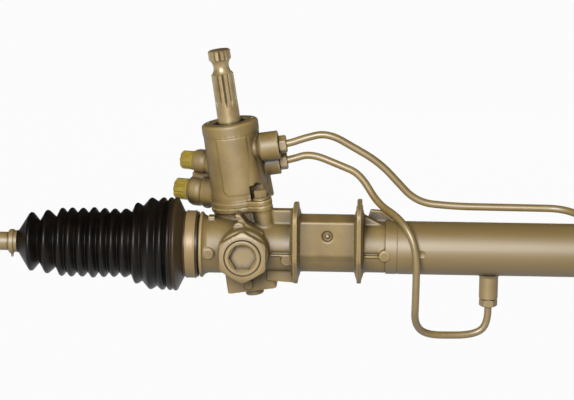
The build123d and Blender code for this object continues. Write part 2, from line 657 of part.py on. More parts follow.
def rack_guide_locknut():
    place = Plane(origin=(GEAR_X, GUIDE_BOSS_Y - 0.1, 0), x_dir=(0, 0, 1), z_dir=(0, -1, 0))
    nut = hex_bar(place, LOCKNUT_FLATS, LOCKNUT_THICK)
    dome = turned([(0, -1), (LOCKNUT_FLATS, -1), (LOCKNUT_FLATS, LOCKNUT_THICK - 6.5),
                   (LOCKNUT_FLATS / 2 - 0.4, LOCKNUT_THICK), (0, LOCKNUT_THICK)], place)
    hole = rod((GEAR_X, GUIDE_BOSS_Y + 1, 0), (0, -1, 0), GUIDE_BORE_R + SEATED, LOCKNUT_THICK + 5)
    return (nut & dome) - hole


# ---------------------------------------------------------------- pinion and valve
def involute(radius):
    """Polar angle of an involute point, from where it leaves its base circle."""
    pressure = math.acos(min(1.0, base_r / radius))
    return math.tan(pressure) - pressure


def pinion_section():
    """Transverse section of the pinion, with a tooth on the -y side."""
    pitch_angle = math.acos(base_r / pitch_r)
    thickness = MODULE * (math.pi / 2 + 2 * PROFILE_SHIFT * math.tan(math.radians(PRESSURE)))
    thickness = (thickness - 2 * FLANK_PLAY) / math.cos(helix)
    half_at_base = thickness / (2 * pitch_r) + math.tan(pitch_angle) - pitch_angle
    tip_r = pitch_r + MODULE * (1 + PROFILE_SHIFT) - TOOTH_TIP_CUT
    root_r = pitch_r + MODULE * (PROFILE_SHIFT - 1.25)
    step = 2 * math.pi / PINION_TEETH

    def polar(radius, angle):
        return (radius * math.cos(angle), radius * math.sin(angle))

    section = Circle(root_r + 0.01)
    for n in range(PINION_TEETH):
        middle = -math.pi / 2 + n * step
        radii = [base_r + (tip_r - base_r) * k / 4 for k in range(5)]
        angles = [half_at_base - involute(r) for r in radii]
        right = [polar(r, middle + a) for r, a in zip(radii, angles)]
        left = [polar(r, middle - a) for r, a in zip(radii, angles)]
        foot_r = root_r - 0.5
        tooth = [
            Spline(*right),
            ThreePointArc(right[-1], polar(tip_r, middle), left[-1]),
            Spline(*reversed(left)),
            Line(left[0], polar(foot_r, middle - half_at_base)),
            Line(polar(foot_r, middle - half_at_base), polar(foot_r, middle + half_at_base)),
            Line(polar(foot_r, middle + half_at_base), right[0]),
        ]
        section = section + make_face(tooth)
    return section.face()


def pinion_gear():
    """Helical pinion with its journals and the cup that drives the valve sleeve."""
    twist = -math.degrees(PINION_FACE * math.tan(helix) / pitch_r)
    start = Rot(0, 0, -twist / 2) * pinion_section()
    start = Pos(0, 0, -PINION_FACE / 2) * start
    teeth = Solid.extrude_linear_with_rotation(
        start, Vector(0, 0, -PINION_FACE / 2), Vector(0, 0, PINION_FACE), twist)
    half = PINION_FACE / 2
    shaft = turned([
        (0, PINION_FOOT_W), (PINION_STUD_R, PINION_FOOT_W), (PINION_STUD_R, LOW_BEARING_W[0] + 0.5),
        (PINION_FOOT_R, LOW_BEARING_W[0] + 0.5), (PINION_FOOT_R, LOW_BEARING_W[1]),
        (9.0, LOW_BEARING_W[1]), (9.0, -half), (0, -half)], pinion_plane)
    upper = turned([
        (0, half), (9.5, half), (9.5, HIGH_BEARING_W[0]), (HIGH_BEARING_R - SEATED, HIGH_BEARING_W[0]),
        (HIGH_BEARING_R - SEATED, CUP_LOW_W), (SLEEVE_R - 1.4, CUP_LOW_W), (SLEEVE_R - 1.4, SLEEVE_LOW_W),
        (0, SLEEVE_LOW_W)], pinion_plane)
    bore = raised(TORSION_LOW_W) * Cylinder(
        TORSION_R + SEATED, SLEEVE_LOW_W + 1 - TORSION_LOW_W,
        align=(Align.CENTER, Align.CENTER, Align.MIN))
    return pinion_plane * teeth + shaft + upper - bore


def bearing(low, high, inner, outer):
    """A ball bearing closed by its shields."""
    wide = (outer - inner) * 0.22
    dip = 0.5
    return turned([
        (inner, low), (inner + wide, low), (inner + wide, low + dip), (outer - wide, low + dip),
        (outer - wide, low), (outer, low), (outer, high), (outer - wide, high),
        (outer - wide, high - dip), (inner + wide, high - dip), (inner + wide, high), (inner, high)],
        pinion_plane)


def pinion_nut():
    nut = hex_bar(raised(PINION_FOOT_W + 0.3), PINION_NUT_FLATS, LOW_BEARING_W[0] - PINION_FOOT_W - 0.4)
    hole = raised(PINION_FOOT_W) * Cylinder(PINION_STUD_R + SEATED, 20)
    return nut - hole


def pinion_end_cap():
    """Screwed cap that closes the bottom of the pinion bore."""
    low = BARREL_BOTTOM_W - CAP_PROUD
    return turned([
        (0, low), (CAP_BOSS_R - 0.8, low), (CAP_BOSS_R, low + 0.8), (CAP_BOSS_R, BARREL_BOTTOM_W - 1.2),
        (CAP_R - 2.5, BARREL_BOTTOM_W - 0.8), (CAP_R - 2.0, BARREL_BOTTOM_W - 0.3),
        (CAP_R - 2.0, BARREL_BOTTOM_W), (CAP_R - SEATED, BARREL_BOTTOM_W), (CAP_R - SEATED, CAP_TOP_W),
        (CAP_R - 3.0, CAP_TOP_W), (CAP_R - 3.0, BARREL_BOTTOM_W + CAP_FLOOR),
        (0, BARREL_BOTTOM_W + CAP_FLOOR)], pinion_plane)


def valve_sleeve():
    sleeve = turned([
        (SLEEVE_BORE_R, SLEEVE_LOW_W + 0.1), (SLEEVE_R, SLEEVE_LOW_W + 0.1), (SLEEVE_R, SLEEVE_HIGH_W),
        (SLEEVE_BORE_R, SLEEVE_HIGH_W)], pinion_plane)
    grooves = [turned([
        (SLEEVE_R - 1.0, w - 1.2), (SLEEVE_R + 1, w - 1.2), (SLEEVE_R + 1, w + 1.2),
        (SLEEVE_R - 1.0, w + 1.2)], pinion_plane) for w in seal_ring_places()]
    return sleeve - grooves


def seal_ring_places():
    span = SLEEVE_HIGH_W - SLEEVE_LOW_W
    return [SLEEVE_LOW_W + span * share for share in (0.12, 0.37, 0.62, 0.87)]


def valve_seal_rings():
    return Compound(children=[turned([
        (SLEEVE_R - 0.9, w - 1.1), (VALVE_BORE_R - RUNNING, w - 1.1),
        (VALVE_BORE_R - RUNNING, w + 1.1), (SLEEVE_R - 0.9, w + 1.1)], pinion_plane).solid()
        for w in seal_ring_places()])


def torsion_bar():
    bar = turned([
        (0, TORSION_LOW_W + 0.3), (TORSION_R, TORSION_LOW_W + 0.3), (TORSION_R, TORSION_LOW_W + 14),
        (TORSION_R - 0.9, TORSION_LOW_W + 17), (TORSION_R - 0.9, torsion_high_w - 20),
        (TORSION_R, torsion_high_w - 17), (TORSION_R, torsion_high_w), (0, torsion_high_w)],
        pinion_plane)
    return bar


def input_shaft():
    """Splined stub above, valve rotor below; the torsion bar runs down its middle."""
    spline_edge_r = SPLINE_R - SHAFT_EDGE
    outline = Polyline(
        (spline_edge_r, 0, head_low_w), (SPLINE_R, 0, head_low_w + SHAFT_EDGE),
        (SPLINE_R, 0, shaft_top_w - SHAFT_EDGE), (spline_edge_r, 0, shaft_top_w), (0, 0, shaft_top_w),
        (0, 0, torsion_high_w + CAP_PLAY), (TORSION_R + RUNNING, 0, torsion_high_w + CAP_PLAY),
        (TORSION_R + RUNNING, 0, SLEEVE_LOW_W + CAP_PLAY),
        (SLEEVE_BORE_R - RUNNING, 0, SLEEVE_LOW_W + CAP_PLAY), (SLEEVE_BORE_R - RUNNING, 0, SLEEVE_HIGH_W),
        (SHAFT_R, 0, SLEEVE_HIGH_W), (SHAFT_R, 0, SPLINE_LOW_W - SPLINE_RUNOUT),
        (SPLINE_R, 0, SPLINE_LOW_W), (SPLINE_R, 0, spline_top_w - SHAFT_EDGE),
        (spline_edge_r, 0, spline_top_w))
    waist = ThreePointArc(
        (spline_edge_r, 0, spline_top_w), (WAIST_R, 0, (spline_top_w + head_low_w) / 2),
        (spline_edge_r, 0, head_low_w))
    shaft = pinion_plane * revolve(make_face([outline, waist]), Axis.Z, 360)
    return shaft - spline_grooves()


def spline_grooves():
    """V grooves down the shaft from its end; each fades out below the splines."""
    outside = SPLINE_R + SHAFT_EDGE
    half = SPLINE_HALF * (SPLINE_DEPTH + SHAFT_EDGE) / SPLINE_DEPTH
    section = make_face(Polyline(
        (SPLINE_R - SPLINE_DEPTH, 0), (outside, half), (outside, -half), close=True))
    straight = extrude(section, shaft_top_w + SHAFT_EDGE - SPLINE_LOW_W)
    runout = loft([section, Vertex(outside, 0, -SPLINE_RUNOUT)])
    return [raised(SPLINE_LOW_W) * Rot(0, 0, SPLINE_PHASE + 360 / SPLINE_COUNT * n) * cutter
            for n in range(SPLINE_COUNT) for cutter in (straight, runout)]


def valve_housing():
    outline = Polyline(
        (FLARE_R, 0, VALVE_FLANGE_TOP_W), (FLARE_R, 0, JOINT_W), (0, 0, JOINT_W), (0, 0, VALVE_TOP_W),
        (VALVE_CAP_R - VALVE_EDGE, 0, VALVE_TOP_W))
    edge = ThreePointArc(
        (VALVE_CAP_R - VALVE_EDGE, 0, VALVE_TOP_W),
        (VALVE_CAP_R - 0.3 * VALVE_EDGE, 0, VALVE_TOP_W - 0.3 * VALVE_EDGE),
        (VALVE_CAP_R, 0, VALVE_TOP_W - VALVE_EDGE))
    wall = Polyline(
        (VALVE_CAP_R, 0, VALVE_TOP_W - VALVE_EDGE), (VALVE_CAP_R, 0, VALVE_STEP_W + 0.8),
        (VALVE_R + 0.5, 0, VALVE_STEP_W), (VALVE_R + 0.9, 0, FLARE_TOP_W))
    flare = ThreePointArc(
        (VALVE_R + 0.9, 0, FLARE_TOP_W), (VALVE_R + 1.7, 0, (FLARE_TOP_W + VALVE_FLANGE_TOP_W) / 2 - 0.6),
        (FLARE_R, 0, VALVE_FLANGE_TOP_W))
    body = pinion_plane * revolve(make_face([outline, edge, wall, flare]), Axis.Z, 360)
    flange = raised(JOINT_W) * extrude(flange_outline(), VALVE_FLANGE_TOP_W - JOINT_W)
    back_rib = raised(JOINT_W) * Pos(*BACK_RIB, 0) * Cone(
        BACK_RIB_LOW_R, BACK_RIB_TOP_R, BACK_RIB_TOP_W - JOINT_W, align=(Align.CENTER, Align.CENTER, Align.MIN))
    front_rib = raised(JOINT_W) * Pos(*FRONT_RIB, 0) * Cone(
        FRONT_RIB_LOW_R, FRONT_RIB_TOP_R, FRONT_RIB_TOP_W - JOINT_W,
        align=(Align.CENTER, Align.CENTER, Align.MIN))
    ports = []
    for spec in (UPPER_RIGHT_PORT, LOWER_RIGHT_PORT):
        r, root = spec["radius"], spec["root"]
        ports.append(turned([
            (0, 8), (r - 4, 8), (r - 4, root), (r - 2, root + 1.5), (r, root + 4), (r, spec["reach"]),
            (0, spec["reach"])], Plane(origin=at(0, spec["v"], spec["w"]), x_dir=Vector(0, 1, 0),
                                       z_dir=spec["direction"])))
    for spec in (UPPER_LEFT_PORT, LOWER_LEFT_PORT):
        base, direction = left_port(spec)
        near, end, collar, r = 12.0, spec["reach"], spec["collar"], spec["radius"]
        ports.append(turned([
            (0, near), (r + 2.5, near), (r + 1.2, collar - 1.5), (r - 1.2, collar), (r - 0.8, collar + 1.2),
            (r, collar + 4.0), (r, end - 4.5), (r - 0.35 * spec["rim"], end - 1.8), (r - spec["rim"], end),
            (0, end)], Plane(origin=base, x_dir=Vector(0, 0, 1), z_dir=direction)))
    solid = body + front_panel() + flange + back_rib + front_rib + ports + port_bridge()
    under = raised(JOINT_W - 40) * Cylinder(
        FLANGE_R + 3.5, 40, align=(Align.CENTER, Align.CENTER, Align.MIN))
    solid = solid - under - valve_housing_bores()
    return solid


def front_panel():
    """The flat-sided panel on the body's front, rounded at its lower corners."""
    wide = PANEL["right"] - PANEL["left"]
    high = PANEL["high"] - PANEL["low"]
    shield = Pos((PANEL["left"] + PANEL["right"]) / 2, 0, (PANEL["low"] + PANEL["high"]) / 2) * Box(
        wide, 2 * VALVE_R + 20, high)
    lower = shield.edges().filter_by(Axis.Y).group_by(Axis.Z)[0]
    shield = fillet(lower, PANEL["corner"])
    shield = shield & (Pos(0, -VALVE_R, 0) * Box(4 * VALVE_R, 2 * VALVE_R, 4 * VALVE_TOP_W))
    skin = Cylinder(VALVE_R + 0.9 + PANEL["proud"], 4 * VALVE_TOP_W)
    return pinion_plane * (shield & skin)


def port_bridge():
    """A web of the casting between the two left-hand ports."""
    base, direction = left_port(UPPER_LEFT_PORT)
    middle = Vector(base.X, base.Y, 0) + direction * PORT_BRIDGE["reach"]
    middle = middle - Vector(math.tan(tilt) * (PORT_BRIDGE["low"] - UPPER_LEFT_PORT["z"]) / 2, 0, 0)
    place = Plane(origin=(middle.X, middle.Y, PORT_BRIDGE["low"]), x_dir=direction, z_dir=(0, 0, 1))
    return place * Box(PORT_BRIDGE["width"], PORT_BRIDGE["thick"], PORT_BRIDGE["high"] - PORT_BRIDGE["low"],
                       align=(Align.CENTER, Align.CENTER, Align.MIN))


def left_port(spec):
    """Point on the pinion axis and level direction of a left-hand port."""
    level = spec["z"] / math.cos(tilt)
    turn = math.radians(LEFT_PORT_TURN)
    return at(0, 0, level), Vector(-math.cos(turn), math.sin(turn), 0)


def valve_housing_bores():
    cuts = [turned([
        (0, JOINT_W - 1), (VALVE_BORE_R, JOINT_W - 1), (VALVE_BORE_R, VALVE_BORE_TOP_W),
        (SEAL_RECESS_R, VALVE_BORE_TOP_W), (SEAL_RECESS_R, VALVE_TOP_W + 1), (0, VALVE_TOP_W + 1)],
        pinion_plane)]
    for u, v in bolt_places():
        cuts.append(raised(JOINT_W - 1) * Pos(u, v, 0) * Cylinder(
            4.4, 20, align=(Align.CENTER, Align.CENTER, Align.MIN)))
        cuts.append(raised(VALVE_FLANGE_TOP_W) * Pos(u, v, 0) * Cylinder(
            BOLT_FLANGE_R + 1.0, BOLT_HEAD + BOLT_CLEAR, align=(Align.CENTER, Align.CENTER, Align.MIN)))
    for spec in (UPPER_RIGHT_PORT, LOWER_RIGHT_PORT):
        end = at(spec["reach"], spec["v"], spec["w"])
        cuts.append(rod(end + spec["direction"] * 1, -spec["direction"], UNION_THREAD_R, UNION_DEPTH + 1))
        cuts.append(rod(end, -spec["direction"], PORT_HOLE_R * 0.6, spec["reach"] - 8))
    for spec in (UPPER_LEFT_PORT, LOWER_LEFT_PORT):
        base, direction = left_port(spec)
        mouth = base + direction * (spec["reach"] + 1)
        cuts.append(rod(mouth, -direction, spec["plug_r"] - 1.5, PLUG_DEPTH + 1))
        cuts.append(rod(mouth, -direction, PORT_HOLE_R, spec["reach"] - 12))
    return cuts


def valve_housing_bolts():
    bolts = []
    for u, v in bolt_places():
        place = raised(VALVE_FLANGE_TOP_W + 0.05) * Pos(u, v, 0)
        washer = place * Cone(BOLT_FLANGE_R, BOLT_FLANGE_R - 1.2, 2.0, align=(
            Align.CENTER, Align.CENTER, Align.MIN))
        head = hex_bar(place, BOLT_HEX, BOLT_HEAD)
        shank = place * Pos(0, 0, -BOLT_LENGTH) * Cylinder(
            BOLT_R, BOLT_LENGTH + 1, align=(Align.CENTER, Align.CENTER, Align.MIN))
        bolts.append((washer + head + shank).solid())
    return Compound(children=bolts)


def input_shaft_seal():
    low = VALVE_BORE_TOP_W + 1.0
    return turned([
        (SHAFT_R + RUNNING, low), (SEAL_RECESS_R - SEATED, low), (SEAL_RECESS_R - SEATED, low + 6.5),
        (SHAFT_R + RUNNING, low + 6.5)], pinion_plane)


def dust_cover():
    low = VALVE_BORE_TOP_W + 7.6
    return turned([
        (SHAFT_R + RUNNING, low), (SEAL_RECESS_R - SEATED, low), (SEAL_RECESS_R - SEATED, VALVE_TOP_W - 0.6),
        (SEAL_RECESS_R - 1.4, VALVE_TOP_W - 0.6), (SHAFT_R + 1.4, VALVE_TOP_W - 1.8),
        (SHAFT_R + RUNNING, VALVE_TOP_W - 1.2)], pinion_plane)


def port_plugs():
    """Push-in closures of the two open hose ports."""
    plugs = []
    for spec in (UPPER_LEFT_PORT, LOWER_LEFT_PORT):
        base, direction = left_port(spec)
        face = base + direction * (spec["reach"] + 0.05)
        place = Plane(origin=face, x_dir=Vector(0, 0, 1), z_dir=direction)
        r, proud = spec["plug_r"], spec["plug_length"]
        body = turned([
            (0, -PLUG_DEPTH + 1), (r - 1.5 - SEATED, -PLUG_DEPTH + 1), (r - 1.5 - SEATED, 0), (r - 0.4, 0),
            (r - 0.4, 2.2), (r, 3.0), (r, proud - 2.0), (r - 1.6, proud), (0, proud)], place)
        notches = [place * Rot(0, 0, 60 * n) * Pos(r + 0.4, 0, 2.6) * Box(
            2.4, 3.4, proud, align=(Align.CENTER, Align.CENTER, Align.MIN)) for n in range(6)]
        plugs.append((body - notches).solid())
    return Compound(children=plugs)


# ---------------------------------------------------------------- pipes
def bend_radii(points, largest):
    """One radius for each inner corner: 0.45 of the shorter run, up to the bending tool's size."""
    radii = []
    for before, here, after in zip(points, points[1:], points[2:]):
        arriving = Vector(*here) - Vector(*before)
        leaving = Vector(*after) - Vector(*here)
        half_turn = math.radians(arriving.get_angle(leaving)) / 2
        fit = 0.45 * min(arriving.length, leaving.length) / math.tan(half_turn)
        radii.append(min(fit, largest))
    return radii


def pipe(points):
    radii = bend_radii(points, PIPE_BEND_R)
    print("bend radii", [round(r, 1) for r in radii])
    route = FilletPolyline(*points, radius=radii)
    start = Plane(origin=Vector(*points[0]), z_dir=route % 0)
    ring = start * (Circle(PIPE_R) - Circle(PIPE_BORE_R))
    return sweep(ring, path=route)


def valve_pipe(spec, points, far_x):
    """Pipe from a right-hand valve port to the tube port at far_x."""
    start = at(spec["reach"] - UNION_DEPTH + PIPE_SEAT, spec["v"], spec["w"])
    first = at(spec["reach"] + UNION_HEAD + PIPE_STRAIGHT, spec["v"], spec["w"])
    end_z = PORT_BOSS_BOTTOM_Z + UNION_DEPTH - PIPE_SEAT
    return pipe([tuple(start), tuple(first)] + points + [(far_x, 0, PIPE_FOOT_Z), (far_x, 0, end_z)])


def short_pipe():
    return valve_pipe(LOWER_RIGHT_PORT, SHORT_PIPE_POINTS, PORT_NEAR_X)


def long_pipe():
    return valve_pipe(UPPER_RIGHT_PORT, LONG_PIPE_POINTS, PORT_FAR_X)


def union_nut(place):
    """Flare nut: hexagon outside, threaded spigot in its port, pipe through the middle."""
    head = hex_bar(place.offset(0.1), UNION_FLATS, UNION_HEAD)
    dome = turned([(0, 0), (UNION_FLATS, 0), (UNION_FLATS, UNION_HEAD - 4),
                   (UNION_FLATS / 2 - 0.3, UNION_HEAD + 0.1), (0, UNION_HEAD + 0.1)], place)
    thread = place.offset(0.2) * extrude(Circle(UNION_THREAD_R - SEATED), -(UNION_DEPTH - 4))
    hole = place.offset(-20) * extrude(Circle(PIPE_R + SEATED), 40)
    return (head & dome) + thread - hole


def valve_union_nuts():
    nuts = []
    for spec in (UPPER_RIGHT_PORT, LOWER_RIGHT_PORT):
        face = at(spec["reach"], spec["v"], spec["w"])
        place = Plane(origin=face, x_dir=Vector(0, 1, 0), z_dir=spec["direction"])
        nuts.append(union_nut(place).solid())
    return Compound(children=nuts)


def cylinder_union_nuts():
    nuts = []
    for x in (PORT_NEAR_X, PORT_FAR_X):
        place = Plane(origin=(x, 0, PORT_BOSS_BOTTOM_Z), x_dir=(1, 0, 0), z_dir=(0, 0, -1))
        nuts.append(union_nut(place).solid())
    return Compound(children=nuts)


# ---------------------------------------------------------------- tie rods and boots
def side(ball_x, outward):
    """Plane at a ball's centre whose z axis points out along the tie rod."""
    return Plane(origin=(ball_x, 0, 0), x_dir=(0, 0, 1), z_dir=(outward, 0, 0))


def ball_socket(place):
    s = -SOCKET_BALL
    outer = turned([
        (0, s), (SOCKET_R - 3.0, s), (SOCKET_R, s + 3.0), (SOCKET_R, s + SOCKET_LENGTH - 3.5),
        (SOCKET_R - 3.2, s + SOCKET_LENGTH), (0, s + SOCKET_LENGTH)], place)
    stud = place.offset(s - STUD_LENGTH) * extrude(Circle(STUD_R), STUD_LENGTH + 1)
    cavity = place * Sphere(SEAT_R + BALL_PLAY)
    lip = SOCKET_LENGTH - SOCKET_BALL
    mouth = place.offset(6.5) * Cone(11.3, 13.8, lip - 6.4, align=(Align.CENTER, Align.CENTER, Align.MIN))
    flats = [place * Pos(0, way * (SOCKET_R + 8.0), s + 7) * Box(40, 20, 10) for way in (1, -1)]
    return outer + stud - cavity - mouth - flats


def lock_washer(place):
    s = -SOCKET_BALL
    washer = place.offset(s - WASHER) * extrude(Circle(SOCKET_R - 1.0) - Circle(STUD_R + SEATED), WASHER)
    return washer


def ball_seat(place):
    shell = place * (Sphere(SEAT_R) - Sphere(BALL_R + BALL_PLAY))
    keep = place.offset(3.5) * extrude(Circle(20), -40)
    return shell & keep


def tie_rod(place):
    neck = turned([
        (0, 6), (6.2, 6), (6.2, 26), (ROD_R, 40), (ROD_R, BOOT_SEAT[0]), (ROD_R - BOOT_SEAT_DEPTH, BOOT_SEAT[0] + 0.3),
        (ROD_R - BOOT_SEAT_DEPTH, BOOT_SEAT[1] - 0.3), (ROD_R, BOOT_SEAT[1]), (ROD_R, ROD_LENGTH - THREAD_LENGTH - 2),
        (ROD_THREAD_R, ROD_LENGTH - THREAD_LENGTH), (ROD_THREAD_R, ROD_NUT_S), (ROD_CORE_R, ROD_NUT_S),
        (ROD_CORE_R, ROD_NUT_S + ROD_NUT_THICK), (ROD_THREAD_R, ROD_NUT_S + ROD_NUT_THICK),
        (ROD_THREAD_R, ROD_LENGTH - 1.2),
        (ROD_THREAD_R - 1.2, ROD_LENGTH), (0, ROD_LENGTH)], place)
    ball = place * Sphere(BALL_R)
    flats = [place * Pos(0, way * (ROD_R + 3.2), ROD_LENGTH - THREAD_LENGTH - 16) * Box(20, 8, 14)
             for way in (1, -1)]
    return ball + neck - flats


def tie_rod_locknut(place):
    nut = place.offset(ROD_NUT_S)
    corner_r = ROD_NUT_FLATS / 2
    solid = hex_bar(nut, ROD_NUT_FLATS, ROD_NUT_THICK)
    rounding = turned([
        (0, 0), (corner_r, 0), (corner_r + 2, 1.2), (corner_r + 2, ROD_NUT_THICK - 1.2),
        (corner_r, ROD_NUT_THICK), (0, ROD_NUT_THICK)], nut)
    hole = nut.offset(-1) * extrude(Circle(ROD_CORE_R + SEATED), ROD_NUT_THICK + 2)
    return (solid & rounding) - hole


def boot(place):
    """Bellows: outer crests and valleys, and a plain inside."""
    outer = [(CUFF_R, CUFF_END_S), (CUFF_R, CUFF_START_S)]
    for (s, r), valley in zip(BOOT_CRESTS, BOOT_VALLEYS):
        outer += [(r, s + CREST_HALF), (r, s - CREST_HALF), valley]
    outer += [(BAND_SEAT_R, BIG_CUFF_S), (BAND_SEAT_R, BIG_END_S)]
    inner = [(SPIGOT_R + SEATED, BIG_END_S), (SPIGOT_R + SEATED, BIG_CUFF_S + 1.2)]
    inner += [(r - BOOT_WALL, s) for r, s in BOOT_INSIDE]
    inner += [(ROD_R + 0.1, BOOT_SEAT[0] + 0.35), (ROD_R - BOOT_SEAT_DEPTH + SEATED, BOOT_SEAT[0] + 0.5),
              (ROD_R - BOOT_SEAT_DEPTH + SEATED, CUFF_END_S)]
    return turned(outer + inner, place)


def boot_clamp(place):
    ring = turned([
        (BAND_SEAT_R + SEATED, BIG_CUFF_S + 0), (BAND_SEAT_R + BAND, BIG_CUFF_S),
        (BAND_SEAT_R + BAND, BIG_CUFF_S - BAND_WIDTH), (BAND_SEAT_R + SEATED, BIG_CUFF_S - BAND_WIDTH)],
        place)
    behind = 90 if place.z_dir.X < 0 else -90
    ear = place.offset(BIG_CUFF_S - BAND_WIDTH + 1.5) * Rot(0, 0, behind) * Pos(BAND_SEAT_R + 2.6, 0, 0) * Box(
        4.0, 8.0, BAND_WIDTH - 3, align=(Align.CENTER, Align.CENTER, Align.MIN))
    return ring + ear


def boot_clip(place):
    ring = turned([
        (CUFF_R + SEATED, CUFF_END_S - 1.0), (CUFF_R + 0.9, CUFF_END_S - 1.0),
        (CUFF_R + 0.9, CUFF_END_S - 4.6), (CUFF_R + SEATED, CUFF_END_S - 4.6)], place)
    ears = place.offset(CUFF_END_S - 3.9) * Pos(-CUFF_R - 2.4, 0, 0) * Box(
        4.6, 3.0, 3.2, align=(Align.CENTER, Align.CENTER, Align.MIN))
    return ring + ears


# ---------------------------------------------------------------- write every piece
pieces = {
    "gear_housing": gear_housing,
    "cylinder_tube": cylinder_tube,
    "tube_port_near": lambda: port_boss(PORT_NEAR_X),
    "tube_port_far": lambda: port_boss(PORT_FAR_X),
    "inner_bulkhead": inner_bulkhead,
    "inner_rack_seal": lambda: rod_seal(BULKHEAD_END_X - SEAL_WIDTH + 0.1, BULKHEAD_END_X - 0.4),
    "rack_end_bushing": rack_end_bushing,
    "outer_rack_seal": lambda: rod_seal(BUSHING_X + 0.4, BUSHING_X + SEAL_WIDTH - 0.1),
    "end_retaining_ring": end_retaining_ring,
    "boot_collar": boot_collar,
    "rack_bar": rack_bar,
    "rack_piston": rack_piston,
    "piston_ring": piston_ring,
    "rack_guide": rack_guide,
    "rack_guide_liner": rack_guide_liner,
    "rack_guide_spring": rack_guide_spring,
    "rack_guide_plug": rack_guide_plug,
    "rack_guide_locknut": rack_guide_locknut,
    "pinion_gear": pinion_gear,
    "pinion_lower_bearing": lambda: bearing(
        *LOW_BEARING_W, PINION_FOOT_R + RUNNING, LOW_BEARING_R - SEATED),
    "pinion_upper_bearing": lambda: bearing(
        *HIGH_BEARING_W, HIGH_BEARING_R + RUNNING, HIGH_BEARING_OUTER_R - SEATED),
    "pinion_nut": pinion_nut,
    "pinion_end_cap": pinion_end_cap,
    "valve_sleeve": valve_sleeve,
    "valve_seal_rings": valve_seal_rings,
    "torsion_bar": torsion_bar,
    "input_shaft": input_shaft,
    "valve_housing": valve_housing,
    "valve_housing_bolts": valve_housing_bolts,
    "input_shaft_seal": input_shaft_seal,
    "dust_cover": dust_cover,
    "port_plugs": port_plugs,
    "short_pipe": short_pipe,
    "long_pipe": long_pipe,
    "valve_union_nuts": valve_union_nuts,
    "cylinder_union_nuts": cylinder_union_nuts,
}
for name, make in pieces.items():
    save(name, make())

tie_rod_pieces = {
    "ball_socket": ball_socket,
    "lock_washer": lock_washer,
    "ball_seat": ball_seat,
    "tie_rod": tie_rod,
    "tie_rod_locknut": tie_rod_locknut,
    "boot": boot,
    "boot_clamp": boot_clamp,
    "boot_clip": boot_clip,
}
for side_name, ball_x, outward in (("left", ball_left_x, -1), ("right", ball_right_x, 1)):
    for name, make in tie_rod_pieces.items():
        save(name + "_" + side_name, make(side(ball_x, outward)))
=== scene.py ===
import math

import bmesh
import bpy
import numpy as np
from mathutils import Matrix, Vector


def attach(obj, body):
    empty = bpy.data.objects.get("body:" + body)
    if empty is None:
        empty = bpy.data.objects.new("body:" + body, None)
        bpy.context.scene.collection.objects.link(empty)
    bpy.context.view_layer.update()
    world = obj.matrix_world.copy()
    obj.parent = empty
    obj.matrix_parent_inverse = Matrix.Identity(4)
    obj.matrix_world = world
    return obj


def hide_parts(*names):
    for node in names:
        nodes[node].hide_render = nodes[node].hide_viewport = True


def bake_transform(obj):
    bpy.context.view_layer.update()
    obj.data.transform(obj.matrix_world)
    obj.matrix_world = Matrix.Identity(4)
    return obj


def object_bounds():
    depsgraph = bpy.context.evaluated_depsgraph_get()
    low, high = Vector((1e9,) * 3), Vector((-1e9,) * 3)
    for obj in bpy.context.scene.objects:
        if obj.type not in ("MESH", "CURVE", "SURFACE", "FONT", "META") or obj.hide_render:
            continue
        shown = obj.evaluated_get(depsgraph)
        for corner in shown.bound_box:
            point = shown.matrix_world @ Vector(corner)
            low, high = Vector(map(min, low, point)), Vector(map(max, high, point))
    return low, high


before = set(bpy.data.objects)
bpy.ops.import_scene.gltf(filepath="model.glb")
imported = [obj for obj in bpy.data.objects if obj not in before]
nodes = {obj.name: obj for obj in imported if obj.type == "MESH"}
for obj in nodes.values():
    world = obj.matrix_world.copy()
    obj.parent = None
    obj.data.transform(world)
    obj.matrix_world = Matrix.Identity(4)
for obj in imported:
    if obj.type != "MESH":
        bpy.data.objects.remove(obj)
cad_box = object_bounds()
MM = 0.001


# ---------------------------------------------------------------- camera
# A 145 mm lens two metres off, a little to the right of square on and looking
# down on the rack, so that its top faces show and its sides hardly converge.
IMAGE_W, IMAGE_H = 574, 400
SENSOR = 36.0
MM_PER_PIXEL = 0.865                      # at the rack's own axis
CAMERA_DISTANCE = 2.0
CAMERA_RIGHT = math.radians(2.75)
CAMERA_DOWN = math.radians(13.0)
CAMERA_ROLL = math.radians(0.30)
AIM_PIXEL = (327.8, 246.3)                # where the rack's origin shows


def place_camera():
    """The camera looks at the point that lies behind the middle of the frame."""
    data = bpy.data.cameras.new("camera")
    data.sensor_width = SENSOR
    data.lens = SENSOR * CAMERA_DISTANCE / (IMAGE_W * MM_PER_PIXEL * MM)
    data.clip_end = 60.0
    camera = bpy.data.objects.new("camera", data)
    bpy.context.scene.collection.objects.link(camera)
    away = Vector((
        math.sin(CAMERA_RIGHT) * math.cos(CAMERA_DOWN),
        -math.cos(CAMERA_RIGHT) * math.cos(CAMERA_DOWN),
        math.sin(CAMERA_DOWN)))
    turn = (-away).to_track_quat("-Z", "Y") @ Matrix.Rotation(CAMERA_ROLL, 3, "Z").to_quaternion()
    right = turn @ Vector((1, 0, 0))
    up = turn @ Vector((0, 1, 0))
    aim = (right * (IMAGE_W / 2 - AIM_PIXEL[0]) + up * (AIM_PIXEL[1] - IMAGE_H / 2)) * MM_PER_PIXEL * MM
    camera.location = aim + away * CAMERA_DISTANCE
    camera.rotation_mode = "QUATERNION"
    camera.rotation_quaternion = turn
    bpy.context.scene.camera = camera


place_camera()


# ---------------------------------------------------------------- floor and light
# A plain pale table runs out of sight behind the rack. One broad soft light stands
# in front, higher than the camera and to its left; a low one behind shows the back.
FLOOR_DROP = 0.12
FLOOR_SIZE = 30.0
FLOOR_GLOW = 0.97                         # how much of the table's look is even white


